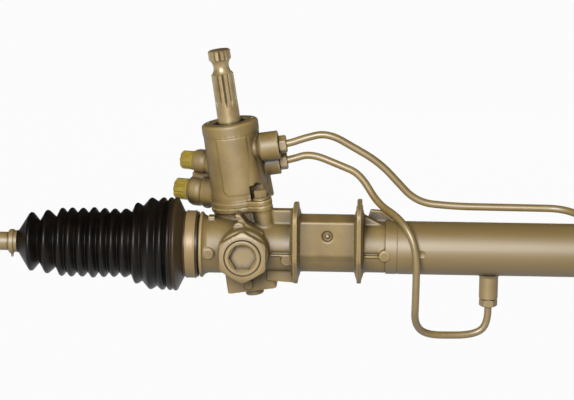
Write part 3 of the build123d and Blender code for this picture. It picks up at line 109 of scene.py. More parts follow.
def linear(colour):
    """An sRGB hex colour as linear red, green, blue and alpha."""
    parts = [int(colour[i:i + 2], 16) / 255 for i in (1, 3, 5)]
    return [p / 12.92 if p <= 0.04045 else ((p + 0.055) / 1.055) ** 2.4 for p in parts] + [1.0]


def add(tree, kind, settings=None, **sockets):
    """Adds a node. Settings go on the node; each socket gets a link or a value."""
    made = tree.nodes.new(kind)
    for name, value in (settings or {}).items():
        setattr(made, name, value)
    for name, value in sockets.items():
        key = int(name[1:]) if name[0] == "i" and name[1:].isdigit() else name.replace("_", " ")
        if isinstance(value, bpy.types.NodeSocket):
            tree.links.new(value, made.inputs[key])
        else:
            made.inputs[key].default_value = value
    return made


def new_material(name):
    """An empty material and its node tree."""
    material = bpy.data.materials.new(name)
    material.use_nodes = True
    material.node_tree.nodes.clear()
    return material, material.node_tree


def studio_floor():
    """Even white where the camera, a reflection or a clear part sees it, dark to light
    that bounces, so that it throws no glare up at the rack."""
    material, tree = new_material("pale_table")
    rays = add(tree, "ShaderNodeLightPath")
    seen = add(tree, "ShaderNodeMath", {"operation": "MAXIMUM"},
               i0=rays.outputs["Is Camera Ray"], i1=rays.outputs["Is Glossy Ray"])
    seen = add(tree, "ShaderNodeMath", {"operation": "MAXIMUM"},
               i0=seen.outputs[0], i1=rays.outputs["Is Transmission Ray"])
    board = add(tree, "ShaderNodeBsdfDiffuse", Color=linear("#1c1c1b"))
    glow = add(tree, "ShaderNodeEmission", Color=linear("#ffffff"), Strength=1.0)
    share = add(tree, "ShaderNodeMath", {"operation": "MULTIPLY"}, i0=seen.outputs[0],
                i1=FLOOR_GLOW)
    both = add(tree, "ShaderNodeMixShader", Fac=share.outputs[0], i1=board.outputs[0], i2=glow.outputs[0])
    add(tree, "ShaderNodeOutputMaterial", Surface=both.outputs[0])
    low = cad_box[0][2] - FLOOR_DROP
    half = FLOOR_SIZE / 2
    mesh = bpy.data.meshes.new("table")
    mesh.from_pydata([(-half, -half, low), (half, -half, low), (half, half, low), (-half, half, low)],
                     [], [(0, 1, 2, 3)])
    mesh.materials.append(material)
    floor = bpy.data.objects.new("table", mesh)
    bpy.context.scene.collection.objects.link(floor)


def soft_light(name, place, aim, size, power, colour, glints=True):
    """A rectangular lamp, size in metres and power in watts, turned towards aim."""
    data = bpy.data.lights.new(name, "AREA")
    data.shape = "RECTANGLE"
    data.size, data.size_y = size
    data.energy = power
    data.color = linear(colour)[:3]
    lamp = bpy.data.objects.new(name, data)
    lamp.location = place
    lamp.rotation_mode = "QUATERNION"
    lamp.rotation_quaternion = (Vector(aim) - Vector(place)).to_track_quat("-Z", "Y")
    lamp.visible_glossy = glints
    bpy.context.scene.collection.objects.link(lamp)


def studio_world():
    """A dim even grey all round, and colours shown as they are."""
    world = bpy.data.worlds.new("studio")
    world.use_nodes = True
    tree = world.node_tree
    tree.nodes.clear()
    sky = add(tree, "ShaderNodeBackground", Color=linear("#8c8c8c"), Strength=0.22)
    add(tree, "ShaderNodeOutputWorld", Surface=sky.outputs[0])
    bpy.context.scene.world = world
    bpy.context.scene.view_settings.view_transform = "Standard"


studio_floor()
studio_world()
soft_light("front_light", place=(-0.2, -1.5, 0.64), aim=(0, 0, 0.02), size=(0.65, 0.65),
           power=52.0, colour="#fffefb")
soft_light("back_light", place=(0.25, 1.7, 0.22), aim=(0.1, 0, 0.02), size=(1.2, 0.5),
           power=60.0, colour="#ffffff", glints=False)


# ---------------------------------------------------------------- cast housings
# Two die castings in aluminium: the gear housing, with the bush seat between its
# flanges, and the valve housing bolted on top. All of the outside was sprayed with
# a satin bronze preservative after assembly, so castings and fittings share it.
CASTINGS = {"gear_housing": (0.85, 4), "valve_housing": (0.75, 5)}     # voxel in mm, easing steps
CAST_FACES = 190000                       # a softened casting is thinned to this


def sprayed_coat(name, colour, worn, roughness, grain_mm, grain_depth, specular=1.0, metallic=0.0,
                 streak=(1, 1, 1), painted_shade_mm=None, edges=None):
    """Satin bronze preservative. It dries lighter where it is thin, in random patches. Convex edges get a
    painted highlight in the given edge colour, and corners within the given reach in mm get painted shade;
    the grain is the surface under it."""
    material, tree = new_material(name)
    place = add(tree, "ShaderNodeTexCoord")
    drawn = add(tree, "ShaderNodeMapping", Vector=place.outputs["Object"], Scale=streak)
    cloud = add(tree, "ShaderNodeTexNoise", Vector=drawn.outputs[0], Scale=45.0, Detail=5.0, Roughness=0.6)
    share = add(tree, "ShaderNodeMapRange", Value=cloud.outputs[0], From_Min=0.35, From_Max=0.7)
    tone = add(tree, "ShaderNodeMix", {"data_type": "RGBA"}, i0=share.outputs[0],
               i6=linear(colour), i7=linear(worn))
    tone = tone.outputs[2]
    if painted_shade_mm:
        # Painted shade: corners and recesses close to other surfaces are mixed towards the near black
        # #20160a.
        depth = add(tree, "ShaderNodeAmbientOcclusion", {"samples": 6}, Distance=painted_shade_mm * MM)
        unshaded_share = add(tree, "ShaderNodeMapRange", Value=depth.outputs["AO"], From_Min=0.35, From_Max=1.0)
        tone = add(tree, "ShaderNodeMix", {"data_type": "RGBA"}, i0=unshaded_share.outputs[0],
                   i6=linear("#20160a"), i7=tone).outputs[2]
    if edges:
        # Painted highlight: convex edges, found by pointiness, are mixed towards the given edge colour.
        curve = add(tree, "ShaderNodeNewGeometry")
        edge_highlight = add(tree, "ShaderNodeMapRange", Value=curve.outputs["Pointiness"],
                   From_Min=0.51, From_Max=0.56)
        tone = add(tree, "ShaderNodeMix", {"data_type": "RGBA"}, i0=edge_highlight.outputs[0],
                   i6=tone, i7=linear(edges)).outputs[2]
    grain = add(tree, "ShaderNodeTexNoise", Vector=drawn.outputs[0], Scale=1.0 / (grain_mm * MM), Detail=3.0)
    bump = add(tree, "ShaderNodeBump", Strength=0.6, Distance=grain_depth * MM, Height=grain.outputs[0])
    dull = add(tree, "ShaderNodeMapRange", Value=cloud.outputs[0], From_Min=0.3, From_Max=0.7,
               To_Min=roughness - 0.04, To_Max=roughness + 0.05)
    shader = add(tree, "ShaderNodeBsdfPrincipled", Base_Color=tone, Metallic=metallic,
                 Roughness=dull.outputs[0], Specular_IOR_Level=specular, Normal=bump.outputs[0])
    add(tree, "ShaderNodeOutputMaterial", Surface=shader.outputs[0])
    return material


def dress(material, *names):
    """CAD nodes that keep their shape and get this finish."""
    for name in names:
        nodes[name].material_slots[0].material = material


def add_piece(name, mesh, material, body=None, stands_for=None):
    """A visible piece that rides on a body and takes the place of a CAD node."""
    mesh.materials.clear()
    mesh.materials.append(material)
    piece = bpy.data.objects.new(name, mesh)
    bpy.context.scene.collection.objects.link(piece)
    if body:
        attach(piece, body)
    if stands_for:
        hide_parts(stands_for)
    return piece


def soft_casting(name, node_name, voxel, steps):
    """A copy of the machined shape whose edges and corners are rounded as in a mould:
    it is meshed anew in even steps and eased, then thinned where it is flat."""
    mesh = nodes[node_name].data.copy()
    work = bmesh.new()
    work.from_mesh(mesh)
    bmesh.ops.remove_doubles(work, verts=work.verts, dist=0.001 * MM)
    work.to_mesh(mesh)
    work.free()
    rough = bpy.data.objects.new(name + "_rough", mesh)
    bpy.context.scene.collection.objects.link(rough)
    remesh = rough.modifiers.new("remesh", "REMESH")
    remesh.mode = "VOXEL"
    remesh.voxel_size = voxel * MM
    ease = rough.modifiers.new("ease", "SMOOTH")
    ease.factor = 0.5
    ease.iterations = steps
    graph = bpy.context.evaluated_depsgraph_get()
    count = len(rough.evaluated_get(graph).data.loop_triangles)
    thin = rough.modifiers.new("thin", "DECIMATE")
    thin.ratio = min(1.0, CAST_FACES / max(count, 1))
    graph.update()
    eased = bpy.data.meshes.new_from_object(rough.evaluated_get(graph), depsgraph=graph)
    bpy.data.objects.remove(rough)
    eased.shade_smooth()
    return eased


# The castings get painted shade in their corners and a painted highlight on their edges.
CAST_COAT = sprayed_coat("sprayed_cast_aluminium", "#67542e", "#776439", 0.52, 0.9, 0.06,
                         specular=0.7, painted_shade_mm=14.0, edges="#9a8459")
for node_name, (voxel, steps) in CASTINGS.items():
    name = node_name + "_cast"
    mesh = soft_casting(name, node_name, voxel, steps)
    add_piece(name, mesh, CAST_COAT, "housing", node_name)


# ---------------------------------------------------------------- cylinder
# A drawn steel tube pressed over the casting's spigot and staked there, with two
# turned bosses brazed under it for the pipes and a collar for the right-hand boot.
TUBE_COAT = sprayed_coat("sprayed_drawn_tube", "#65522b", "#6f5c34", 0.52, 0.7, 0.02, streak=(0.08, 1, 1))
# The turned steel gets painted shade in its corners.
TURNED_COAT = sprayed_coat("sprayed_turned_steel", "#6f5b33", "#7c6940", 0.5, 0.5, 0.015, painted_shade_mm=4.0)
dress(TUBE_COAT, "cylinder_tube")
dress(TURNED_COAT, "boot_collar", "tube_port_near", "tube_port_far")


# ---------------------------------------------------------------- rack, piston and seals
# Inside the cylinder: the ground rack bar with its piston, the seals that hold the
# oil in, and the bushing and retaining ring at the far end.
def plain_finish(name, colour, second, roughness, metallic, grain_mm, grain_depth=0.01, streak=(1, 1, 1)):
    """A bare surface, with the fine scratches or moulding grain of its own making."""
    material, tree = new_material(name)
    place = add(tree, "ShaderNodeTexCoord")
    drawn = add(tree, "ShaderNodeMapping", Vector=place.outputs["Object"], Scale=streak)
    grain = add(tree, "ShaderNodeTexNoise", Vector=drawn.outputs[0], Scale=1.0 / (grain_mm * MM), Detail=4.0)
    tone = add(tree, "ShaderNodeMix", {"data_type": "RGBA"}, i0=grain.outputs[0],
               i6=linear(colour), i7=linear(second))
    bump = add(tree, "ShaderNodeBump", Strength=0.5, Distance=grain_depth * MM, Height=grain.outputs[0])
    dull = add(tree, "ShaderNodeMapRange", Value=grain.outputs[0], From_Min=0.3, From_Max=0.7,
               To_Min=roughness - 0.04, To_Max=roughness + 0.05)
    shader = add(tree, "ShaderNodeBsdfPrincipled", Base_Color=tone.outputs[2], Metallic=metallic,
                 Roughness=dull.outputs[0], Normal=bump.outputs[0])
    add(tree, "ShaderNodeOutputMaterial", Surface=shader.outputs[0])
    return material


GROUND_STEEL = plain_finish("ground_steel", "#a5a39e", "#8b8984", 0.28, 1.0, 0.5, streak=(0.05, 1, 1))
SPRING_STEEL = plain_finish("oiled_spring_steel", "#6d655a", "#58514a", 0.34, 1.0, 0.8)
NYLON = plain_finish("moulded_nylon", "#dcd7c8", "#d0cab8", 0.42, 0.0, 0.6)
NITRILE = plain_finish("moulded_nitrile", "#141210", "#1c1a17", 0.5, 0.0, 0.4)
BRONZE = plain_finish("sintered_bronze", "#a1814f", "#86693c", 0.42, 1.0, 0.25, 0.03)
dress(GROUND_STEEL, "rack_bar", "rack_piston", "inner_bulkhead")
dress(NITRILE, "inner_rack_seal", "outer_rack_seal")
dress(NYLON, "piston_ring", "rack_end_bushing")
dress(SPRING_STEEL, "end_retaining_ring")


# ---------------------------------------------------------------- rack guide and its plug
# The cast guide that holds the rack against the pinion, the turned plug that sets its
# load, driven by a hexagon key, and the pressed hexagon lock nut round it.
GUIDE_NUT_SEAT = (-71.0, -37.1, 0)
GUIDE_NUT = {"thick": 10.4, "flats": 39.4, "corner": 22.0, "bore": 15.32, "chamfer": 1.7,
             "bore_chamfer": 0.9}


def hex_radius(turn, flats, corner):
    """Distance to a hexagon's face, flats / 2 / cos(angle from the face's middle), with
    the corners, the first at turn 0, eased into a circle by a soft minimum."""
    face = flats / 2 / np.cos(turn % (math.pi / 3) - math.pi / 6)
    sharp = 6.0
    return -np.log(np.exp(-sharp * face) + np.exp(-sharp * corner)) / sharp


def round_grid(outline, origin, axis, start, turns=96, radius=None):
    """An outline of (s, r) carried round an axis: a point is origin + s axis
    + r cos(turn) start + r sin(turn) (axis x start). radius(r, turn, s) may change r."""
    s, r = np.array(outline, float).T[:2, :, None]
    turn = np.arange(turns) * 2 * math.pi / turns
    r = radius(r, turn, s) if radius else r + 0 * turn
    axis = np.array(axis, float) / np.linalg.norm(axis)
    start = np.array(start, float) / np.linalg.norm(start)
    side = np.cross(axis, start)
    return (np.array(origin, float) + s[..., None] * axis
            + (r * np.cos(turn))[..., None] * start + (r * np.sin(turn))[..., None] * side)


def grid_mesh(name, grid, close_rows=False, sharp=38):
    """A mesh from a grid of points in millimetres, rows by columns. Its doubles are
    merged, so that a row of equal points becomes a pole, and its faces point out."""
    rows, columns = grid.shape[:2]
    number = np.arange(rows * columns).reshape(rows, columns)
    if close_rows:
        number = np.vstack([number, number[:1]])
    number = np.hstack([number, number[:, :1]])
    quads = np.stack([number[:-1, :-1], number[:-1, 1:], number[1:, 1:], number[1:, :-1]], axis=-1)
    quads = quads.reshape(-1, 4)
    mesh = bpy.data.meshes.new(name)
    mesh.from_pydata(grid.reshape(-1, 3) * MM, [], quads)
    work = bmesh.new()
    work.from_mesh(mesh)
    bmesh.ops.remove_doubles(work, verts=work.verts, dist=0.004 * MM)
    bmesh.ops.dissolve_degenerate(work, edges=work.edges, dist=0.001 * MM)
    bmesh.ops.recalc_face_normals(work, faces=work.faces)
    work.to_mesh(mesh)
    work.free()
    mesh.shade_smooth()
    mesh.set_sharp_from_angle(angle=math.radians(sharp))
    return mesh


def turned(name, outline, origin, axis, start, turns=96, radius=None, close_rows=True, sharp=38):
    """The mesh of an outline carried round an axis. close_rows joins its last point to
    its first; an outline that begins and ends on the axis doesn't need it."""
    return grid_mesh(name, round_grid(outline, origin, axis, start, turns, radius), close_rows, sharp)


def between(start, end, steps):
    """Evenly spaced points on the straight line from one outline point to another."""
    return np.linspace(start, end, steps).tolist()


def nut_outline(thick, flats, bore, chamfer, bore_chamfer):
    """Closed outline of a nut, from its bore outwards. The cones that bevel its corners
    start just inside the flats, so the hexagon cuts them into arcs."""
    corner = flats / math.sqrt(3) + 0.3
    face = flats / 2 - 0.25
    return (between((0, bore + bore_chamfer), (0, face), 2) + between((0, face), (chamfer, corner), 9)
            + between((thick - chamfer, corner), (thick, face), 9)
            + [[thick, bore + bore_chamfer], [thick - bore_chamfer, bore], [bore_chamfer, bore]])


def hexagonal(flats, corner):
    """Holds each outline point inside the hexagon."""
    return lambda r, turn, s: np.minimum(r, hex_radius(turn, flats, corner))


def add_nut(name, size, first, seat, axis, corner_way, body, node_name, turns=96):
    """A hexagon nut that starts first mm along the axis, a corner towards corner_way."""
    outline = [[s + first, r] for s, r in nut_outline(
        size["thick"], size["flats"], size["bore"], size["chamfer"], size["bore_chamfer"])]
    mesh = turned(name, outline, seat, axis, corner_way, turns, hexagonal(size["flats"], size["corner"]))
    add_piece(name, mesh, TURNED_COAT, body, node_name)


add_nut("rack_guide_locknut_pressed", GUIDE_NUT, 0.0, GUIDE_NUT_SEAT, (0, -1, 0), (0, 0, 1),
        "housing", "rack_guide_locknut", turns=144)
dress(CAST_COAT, "rack_guide")
dress(BRONZE, "rack_guide_liner")
dress(SPRING_STEEL, "rack_guide_spring")
dress(TURNED_COAT, "rack_guide_plug")


# ---------------------------------------------------------------- pinion and valve
# The pinion in its two ball bearings, and the rotary valve above it: torsion bar,
# sleeve with four seal rings, and the splined input shaft through its seal.
# The shaft's coat gets painted shade in its corners.
SHAFT_COAT = sprayed_coat("sprayed_shaft_steel", "#7b653d", "#9f8e69", 0.38, 0.6, 0.02, metallic=0.35,
                          painted_shade_mm=3.0)
dress(GROUND_STEEL, "pinion_gear", "pinion_nut", "torsion_bar", "valve_sleeve",
      "pinion_lower_bearing", "pinion_upper_bearing")
dress(NYLON, "valve_seal_rings")
dress(NITRILE, "input_shaft_seal", "dust_cover")
dress(TURNED_COAT, "pinion_end_cap")
dress(SHAFT_COAT, "input_shaft")


# ---------------------------------------------------------------- valve housing bolts
# Two screws with a flange under a dished hexagon head hold the valve housing down,
# one in front of the pinion and one behind it.
TILT = math.radians(8.4)
PINION_X, PINION_Y = -71.0, 17.445
BOLT_PLACES = {"front": (19.3, -21.6), "back": (-4.0, 27.5)}
BOLT_SEAT_W = 39.45
BOLT_FLATS, BOLT_CORNER = 10.0, 5.75
BOLT_HEXAGON_S = 2.05                     # the flange ends and the hexagon starts here
BOLT_SHANK = [[-22.0, 0.0], [-22.0, 2.4], [-21.4, 3.0], [0.0, 3.0]]
BOLT_FLANGE = [[0.0, 7.1], [0.35, 7.4], [0.8, 7.3], [2.0, 6.1]]
BOLT_HEAD = [[2.1, 6.0], [2.1, 5.9], [7.6, 5.9]]
BOLT_DISH = [[8.3, 3.9], [8.3, 0.0]]


def pinion_point(u, v, w):
    """u and w lie across and along the leaning pinion axis; v is level with y."""
    return (PINION_X + u * math.cos(TILT) - w * math.sin(TILT), PINION_Y + v,
            u * math.sin(TILT) + w * math.cos(TILT))


ACROSS = (math.cos(TILT), 0.0, math.sin(TILT))
UPWARD = (-math.sin(TILT), 0.0, math.cos(TILT))


def bolt_radius(r, turn, s):
    """Round up to the flange's end, hexagonal above it."""
    hexagon = np.minimum(r, hex_radius(turn, BOLT_FLATS, BOLT_CORNER))
    return np.where(s > BOLT_HEXAGON_S, hexagon, r + 0 * turn)


for end, (u, v) in BOLT_PLACES.items():
    name = "valve_bolt_" + end
    outline = BOLT_SHANK + BOLT_FLANGE + BOLT_HEAD + between(BOLT_HEAD[-1], (8.6, 4.7), 6) + BOLT_DISH
    mesh = turned(name, outline, pinion_point(u, v, BOLT_SEAT_W), UPWARD, (0, 1, 0),
                  radius=bolt_radius, close_rows=False)
    add_piece(name, mesh, TURNED_COAT, "housing", "valve_housing_bolts")


# ---------------------------------------------------------------- port plugs
# Soft polyethylene caps pushed into the two open hose ports for transport. Each is
# a hollow cup with finger notches round it, and lets a little light through.
PLUG_TURN = math.radians(20.0)
# the port's height, how far from the pinion's axis the plug's rim sits, its radius and length
HOSE_PORTS = {"upper": (67.5, 38.55, 8.5, 12.0), "lower": (40.8, 47.45, 9.8, 13.4)}
PLUG_NOTCHES = 9
NOTCH_START, NOTCH_RUN, NOTCH_DEPTH = 2.8, 0.6, 1.5


def translucent_plastic(name, colour, second):
    """Milky plastic in two flowing tones that lets a little light through."""
    material, tree = new_material(name)
    place = add(tree, "ShaderNodeTexCoord")
    flow = add(tree, "ShaderNodeTexNoise", Vector=place.outputs["Object"], Scale=160.0, Detail=3.0)
    tone = add(tree, "ShaderNodeMix", {"data_type": "RGBA"}, i0=flow.outputs[0],
               i6=linear(colour), i7=linear(second))
    shader = add(tree, "ShaderNodeBsdfPrincipled", Base_Color=tone.outputs[2], Roughness=0.32,
                 Subsurface_Weight=0.3, Subsurface_Scale=0.002)
    add(tree, "ShaderNodeOutputMaterial", Surface=shader.outputs[0])
    return material


def plug_radius(notched):
    """Notches cut where the wave 0.5 + 0.5 cos(notches x turn) is under a third. They
    deepen over a short run and leave points within the radius notched alone."""
    def radius(r, turn, s):
        lobe = 0.5 + 0.5 * np.cos(PLUG_NOTCHES * turn)
        run = np.clip((s - NOTCH_START) / NOTCH_RUN, 0, 1)
        deep = run * NOTCH_DEPTH * (1 - np.clip(lobe * 3, 0, 1))
        return r - deep * (r > notched)
    return radius


def plug_outline(r, length):
    """From the end inside the port out over the rim and the cup's lip, and back down
    inside the cup to its floor."""
    return [[-8.0, 0.0], [-8.0, r - 1.6], [0.0, r - 1.6], [0.0, r - 0.6], [0.4, r - 0.1], [1.8, r - 0.1],
            [2.6, r - 0.3], [2.9, r - 0.4], [3.4, r - 0.4], [length - 1.0, r - 0.5],
            [length - 0.3, r - 0.9], [length, r - 1.5], [length, r - 2.3], [length - 0.5, r - 2.6],
            [length - 7.0, r - 3.0], [length - 7.0, 0.0]]


PLUG_PLASTIC = translucent_plastic("moulded_polyethylene", "#978339", "#6e6124")
for level, (z, reach, r, length) in HOSE_PORTS.items():
    name = "port_plug_" + level
    way = (-math.cos(PLUG_TURN), math.sin(PLUG_TURN), 0.0)
    middle = pinion_point(0, 0, z / math.cos(TILT))
    face = tuple(m + reach * d for m, d in zip(middle, way))
    mesh = turned(name, plug_outline(r, length), face, way, (0, 0, 1), turns=180,
                  radius=plug_radius(r - 2.0), close_rows=False)
    add_piece(name, mesh, PLUG_PLASTIC, "housing", "port_plugs")


# ---------------------------------------------------------------- pipes and union nuts
# Two bent steel pipes carry oil from the valve to each end of the cylinder. A hexagon
# union nut holds each end of each pipe in its port.
PIPE_COAT = sprayed_coat("sprayed_steel_pipe", "#6a572f", "#77643a", 0.42, 0.8, 0.012)
UNION_NUT = {"thick": 6.4, "flats": 14.0, "corner": 8.0, "bore": 3.24, "chamfer": 1.0, "bore_chamfer": 0.4}
UNION_CLEAR = 0.1                         # between a nut and the face of its port
UPPER_SEAT, LOWER_SEAT = (40.5, -9.0, 82.3), (37.8, 9.0, 64.3)      # u, v and w of the valve's ports
NEAR_PORT_X, FAR_PORT_X, PORT_FACE_Z = 139.4, 311.0, -44.0
UNIONS = {
    "valve_upper": (pinion_point(*UPPER_SEAT), ACROSS, UPWARD),
    "valve_lower": (pinion_point(*LOWER_SEAT), ACROSS, UPWARD),
    "cylinder_near": ((NEAR_PORT_X, 0.0, PORT_FACE_Z), (0, 0, -1), (1, 0, 0)),
    "cylinder_far": ((FAR_PORT_X, 0.0, PORT_FACE_Z), (0, 0, -1), (1, 0, 0)),
}
PIPE_R = 3.2
PIPE_IN, PIPE_OUT = 9.0, 9.4              # straight run inside and outside a valve port's face
PIPE_BEND = 15.0                          # how far a bend reaches along its runs
PIPE_STEPS = 9
PIPE_END_Z = -35.0
PIPES = {
    "short": (LOWER_SEAT, [
        (-16.5, 25.8, 76.6), (10.0, 20.0, 67.3), (27.0, 15.0, 61.2), (43.0, 1.0, 37.8),
        (60.0, -17.0, 31.3), (71.5, -28.0, 18.5), (76.8, -30.5, 0.0), (76.3, -30.0, -40.0),
        (75.8, -22.0, -62.0), (86.0, -8.0, -75.8), (126.0, -1.0, -77.2), (NEAR_PORT_X, 0.0, -69.0)]),
    "long": (UPPER_SEAT, [
        (-22.0, 8.4, 93.2), (-1.0, 8.4, 98.6), (43.5, 8.4, 73.2), (76.0, 8.4, 38.2),
        (110.0, 8.4, 35.3), (203.0, 8.4, 34.8), (222.0, -10.0, 30.5), (244.0, -29.0, 8.0),
        (247.0, -30.5, -38.0), (250.0, -22.0, -62.0), (262.0, -8.0, -75.8), (298.0, -1.0, -77.2),
        (FAR_PORT_X, 0.0, -69.0)]),
}


def bent_path(points, reach, steps):
    """Each inner corner P gives way to (1-t)^2 A + 2t(1-t) P + t^2 B, where A and B lie
    on its two runs, reach away or just under half a short run."""
    points = np.array(points, float)
    t = np.linspace(0, 1, steps)[:, None]
    rows = [points[:1]]
    for before, corner, after in zip(points, points[1:], points[2:]):
        back, on = before - corner, after - corner
        a = corner + back * min(reach / np.linalg.norm(back), 0.49)
        b = corner + on * min(reach / np.linalg.norm(on), 0.49)
        rows.append((1 - t) ** 2 * a + 2 * t * (1 - t) * corner + t ** 2 * b)
    return np.concatenate(rows + [points[-1:]])


def swept_tube(path, radius, turns=32):
    """A circle carried along the path: at each point its first radius is the last one's,
    less its part along the new direction. Both ends close on the path itself."""
    along = np.gradient(path, axis=0)
    along /= np.linalg.norm(along, axis=1)[:, None]
    first = np.zeros_like(path)
    last = np.cross(along[0], (0.0, 1.0, 0.3))
    for number, way in enumerate(along):
        last = last - way * np.dot(last, way)
        last /= np.linalg.norm(last)
        first[number] = last
    second = np.cross(along, first)
    turn = (np.arange(turns) * 2 * math.pi / turns)[None, :, None]
    ring = path[:, None] + radius * (np.cos(turn) * first[:, None] + np.sin(turn) * second[:, None])
    cap = np.ones((1, turns, 1))
    return np.concatenate([path[None, :1] * cap, ring, path[None, -1:] * cap])


for length, ((u, v, w), bends) in PIPES.items():
    name = length + "_pipe_bent"
    ends = [pinion_point(u - PIPE_IN, v, w), pinion_point(u + PIPE_OUT, v, w)]
    path = bent_path(ends + bends + [(bends[-1][0], 0.0, PIPE_END_Z)], PIPE_BEND, PIPE_STEPS)
    add_piece(name, grid_mesh(name, swept_tube(path, PIPE_R)),
              PIPE_COAT, "housing", length + "_pipe")
for place_name, (seat, axis, corner_way) in UNIONS.items():
    node_name = place_name.split("_")[0] + "_union_nuts"
    add_nut("union_nut_" + place_name, UNION_NUT, UNION_CLEAR, seat, axis, corner_way,
            "housing", node_name)


# ---------------------------------------------------------------- tie rods
# Forged and turned steel: a ball in its nylon seat inside the socket screwed to the
# rack, wrench flats, and a rolled M14 thread with the lock nut of the outer end.
BALL_X = {"left": -211.5, "right": 437.5}
OUTWARD = {"left": -1, "right": 1}
# distances along a rod, its boot and its clamps are counted outwards from the ball's centre
BALL_R, BALL_END = 11.5, 9.6
ROD_ROWS = [[26, 6.2], [33, 6.9], [40, 8.0], [56.9, 8.0], [57.1, 7.5], [66.6, 7.5], [66.8, 8.0],
            [170, 8.0], [176.8, 8.0], [177.0, 8.0], [190.8, 8.0], [191.0, 8.0], [198, 8.0], [200, 7.0]]
FLATS_START, FLATS_END, FLATS_HALF = 176.9, 190.9, 7.2
THREAD = {"start": 200.0, "end": 290.0, "pitch": 1.5, "depth": 0.85, "radius": 7.0,
          "chamfer": 1.1, "slope": 1.3, "crest": 0.15, "run_in": 3.0}
ROD_NUT = {"thick": 11.0, "flats": 22.0, "corner": 12.3, "bore": 6.42, "chamfer": 1.6, "bore_chamfer": 0.6}
ROD_NUT_START = 230.0


def rod_radius(r, turn, s):
    """Two flats, held at their half width over the cosine of the turn; then a screw
    thread that is cut by depth |2 f - 1|, with flattened crests and roots, where f is
    the fraction of s / pitch - turn / 2 pi. It fades in over its first run_in mm."""
    flat = (s > FLATS_START) & (s < FLATS_END)
    held = np.minimum(r, FLATS_HALF / np.maximum(np.abs(np.cos(turn)), 0.1))
    r = np.where(flat, held, r + 0 * turn)
    f = (s / THREAD["pitch"] - turn / (2 * math.pi)) % 1.0
    groove = THREAD["depth"] * np.clip(np.abs(2 * f - 1) * THREAD["slope"] - THREAD["crest"], 0, 1)
    fade = np.clip((s - THREAD["start"]) / THREAD["run_in"], 0, 1)
    return np.where(s > THREAD["start"], np.minimum(r, THREAD["radius"]) - groove * fade, r)


def tie_rod_outline():
    """The ball, r^2 = BALL_R^2 - s^2, the shank's rows, eight rows to each turn of the
    thread, and the chamfered end."""
    angle = np.linspace(math.pi, math.acos(BALL_END / BALL_R), 24)
    ball = np.stack([BALL_R * np.cos(angle), BALL_R * np.sin(angle)], axis=1).tolist()
    r, end, chamfer, step = THREAD["radius"], THREAD["end"], THREAD["chamfer"], THREAD["pitch"] / 8
    thread = [[s, r] for s in np.arange(THREAD["start"] + step, end - chamfer, step)]
    return ball + ROD_ROWS + thread + [[end - chamfer, r], [end, r - chamfer], [end, 0.0]]


for side in BALL_X:
    name, rod = "tie_rod_%s_forged" % side, "tie_rod_" + side
    origin, way = (BALL_X[side], 0, 0), (OUTWARD[side], 0, 0)
    mesh = turned(name, tie_rod_outline(), origin, way, (0, 1, 0), 48, rod_radius, close_rows=False, sharp=30)
    add_piece(name, mesh, TURNED_COAT, rod, rod)
    add_nut("tie_rod_locknut_%s_pressed" % side, ROD_NUT, ROD_NUT_START, origin, way, (0, 0, 1),
            rod, "tie_rod_locknut_" + side)
dress(GROUND_STEEL, "ball_socket_left", "ball_socket_right", "lock_washer_left", "lock_washer_right")
dress(NYLON, "ball_seat_left", "ball_seat_right")


# ---------------------------------------------------------------- boots
# Two moulded rubber bellows keep dirt off the ball joints. The large cuff is
# clamped to the housing's end and the small cuff grips the tie rod.
BOOT_CRESTS = [
    (-80.4, 40.6), (-75.4, 40.3), (-68.9, 40.2), (-58.5, 39.8), (-46.0, 35.2), (-35.8, 29.9),
    (-26.3, 29.8), (-17.4, 30.1), (-8.2, 30.7), (1.4, 30.0), (10.9, 30.1), (19.5, 29.7),
    (32.3, 27.7), (46.2, 25.6)]
BOOT_VALLEYS = [
    (-86.3, 31.0), (-77.9, 38.6), (-72.2, 36.9), (-64.0, 36.7), (-51.1, 32.5), (-41.2, 26.8),
    (-31.0, 25.7), (-21.8, 25.7), (-12.8, 25.7), (-3.4, 25.7), (6.2, 25.7), (15.2, 25.7),
    (24.5, 21.7), (38.8, 18.2)]
BOOT_ENDS = [(-99.8, 28.3), (-87.8, 28.3)], [(57.5, 9.5), (66.2, 9.5)]
BOOT_LINING = [
    (-99.8, 26.1), (-86.6, 26.1), (-79.0, 33.5), (-66.0, 34.5), (-51.1, 30.5), (-41.2, 24.6),
    (-31.0, 23.7), (15.2, 23.7), (19.5, 25.5), (24.5, 21.0), (32.3, 26.2), (38.8, 17.4), (46.2, 22.5),
    (55.0, 8.4), (66.2, 8.1)]
CREST_HALF = 1.1                          # half the flat on top of a fold
BOOT_CUFF = (58.6, 66.2)                  # the small cuff, over-sprayed with the bronze
CUFF_BORE = 8.15
# how far along each joint's motion the folds have followed, at both ends of each
# run of folds: the rack's slide, then the rod's lift, then its swing
BOOT_RUNS = [
    ("housing", "rack", -87.8, 0.0, -72.2, 0.10),
    ("housing", "rack", -72.2, 0.10, 6.2, 0.90),
    ("housing", "rack", 6.2, 0.90, 24.5, 1.0),
    ("rack", "ball_seat_{side}", 24.5, 0.0, 32.3, 1.0),
    ("ball_seat_{side}", "tie_rod_{side}", 32.3, 0.0, 49.0, 1.0),
]


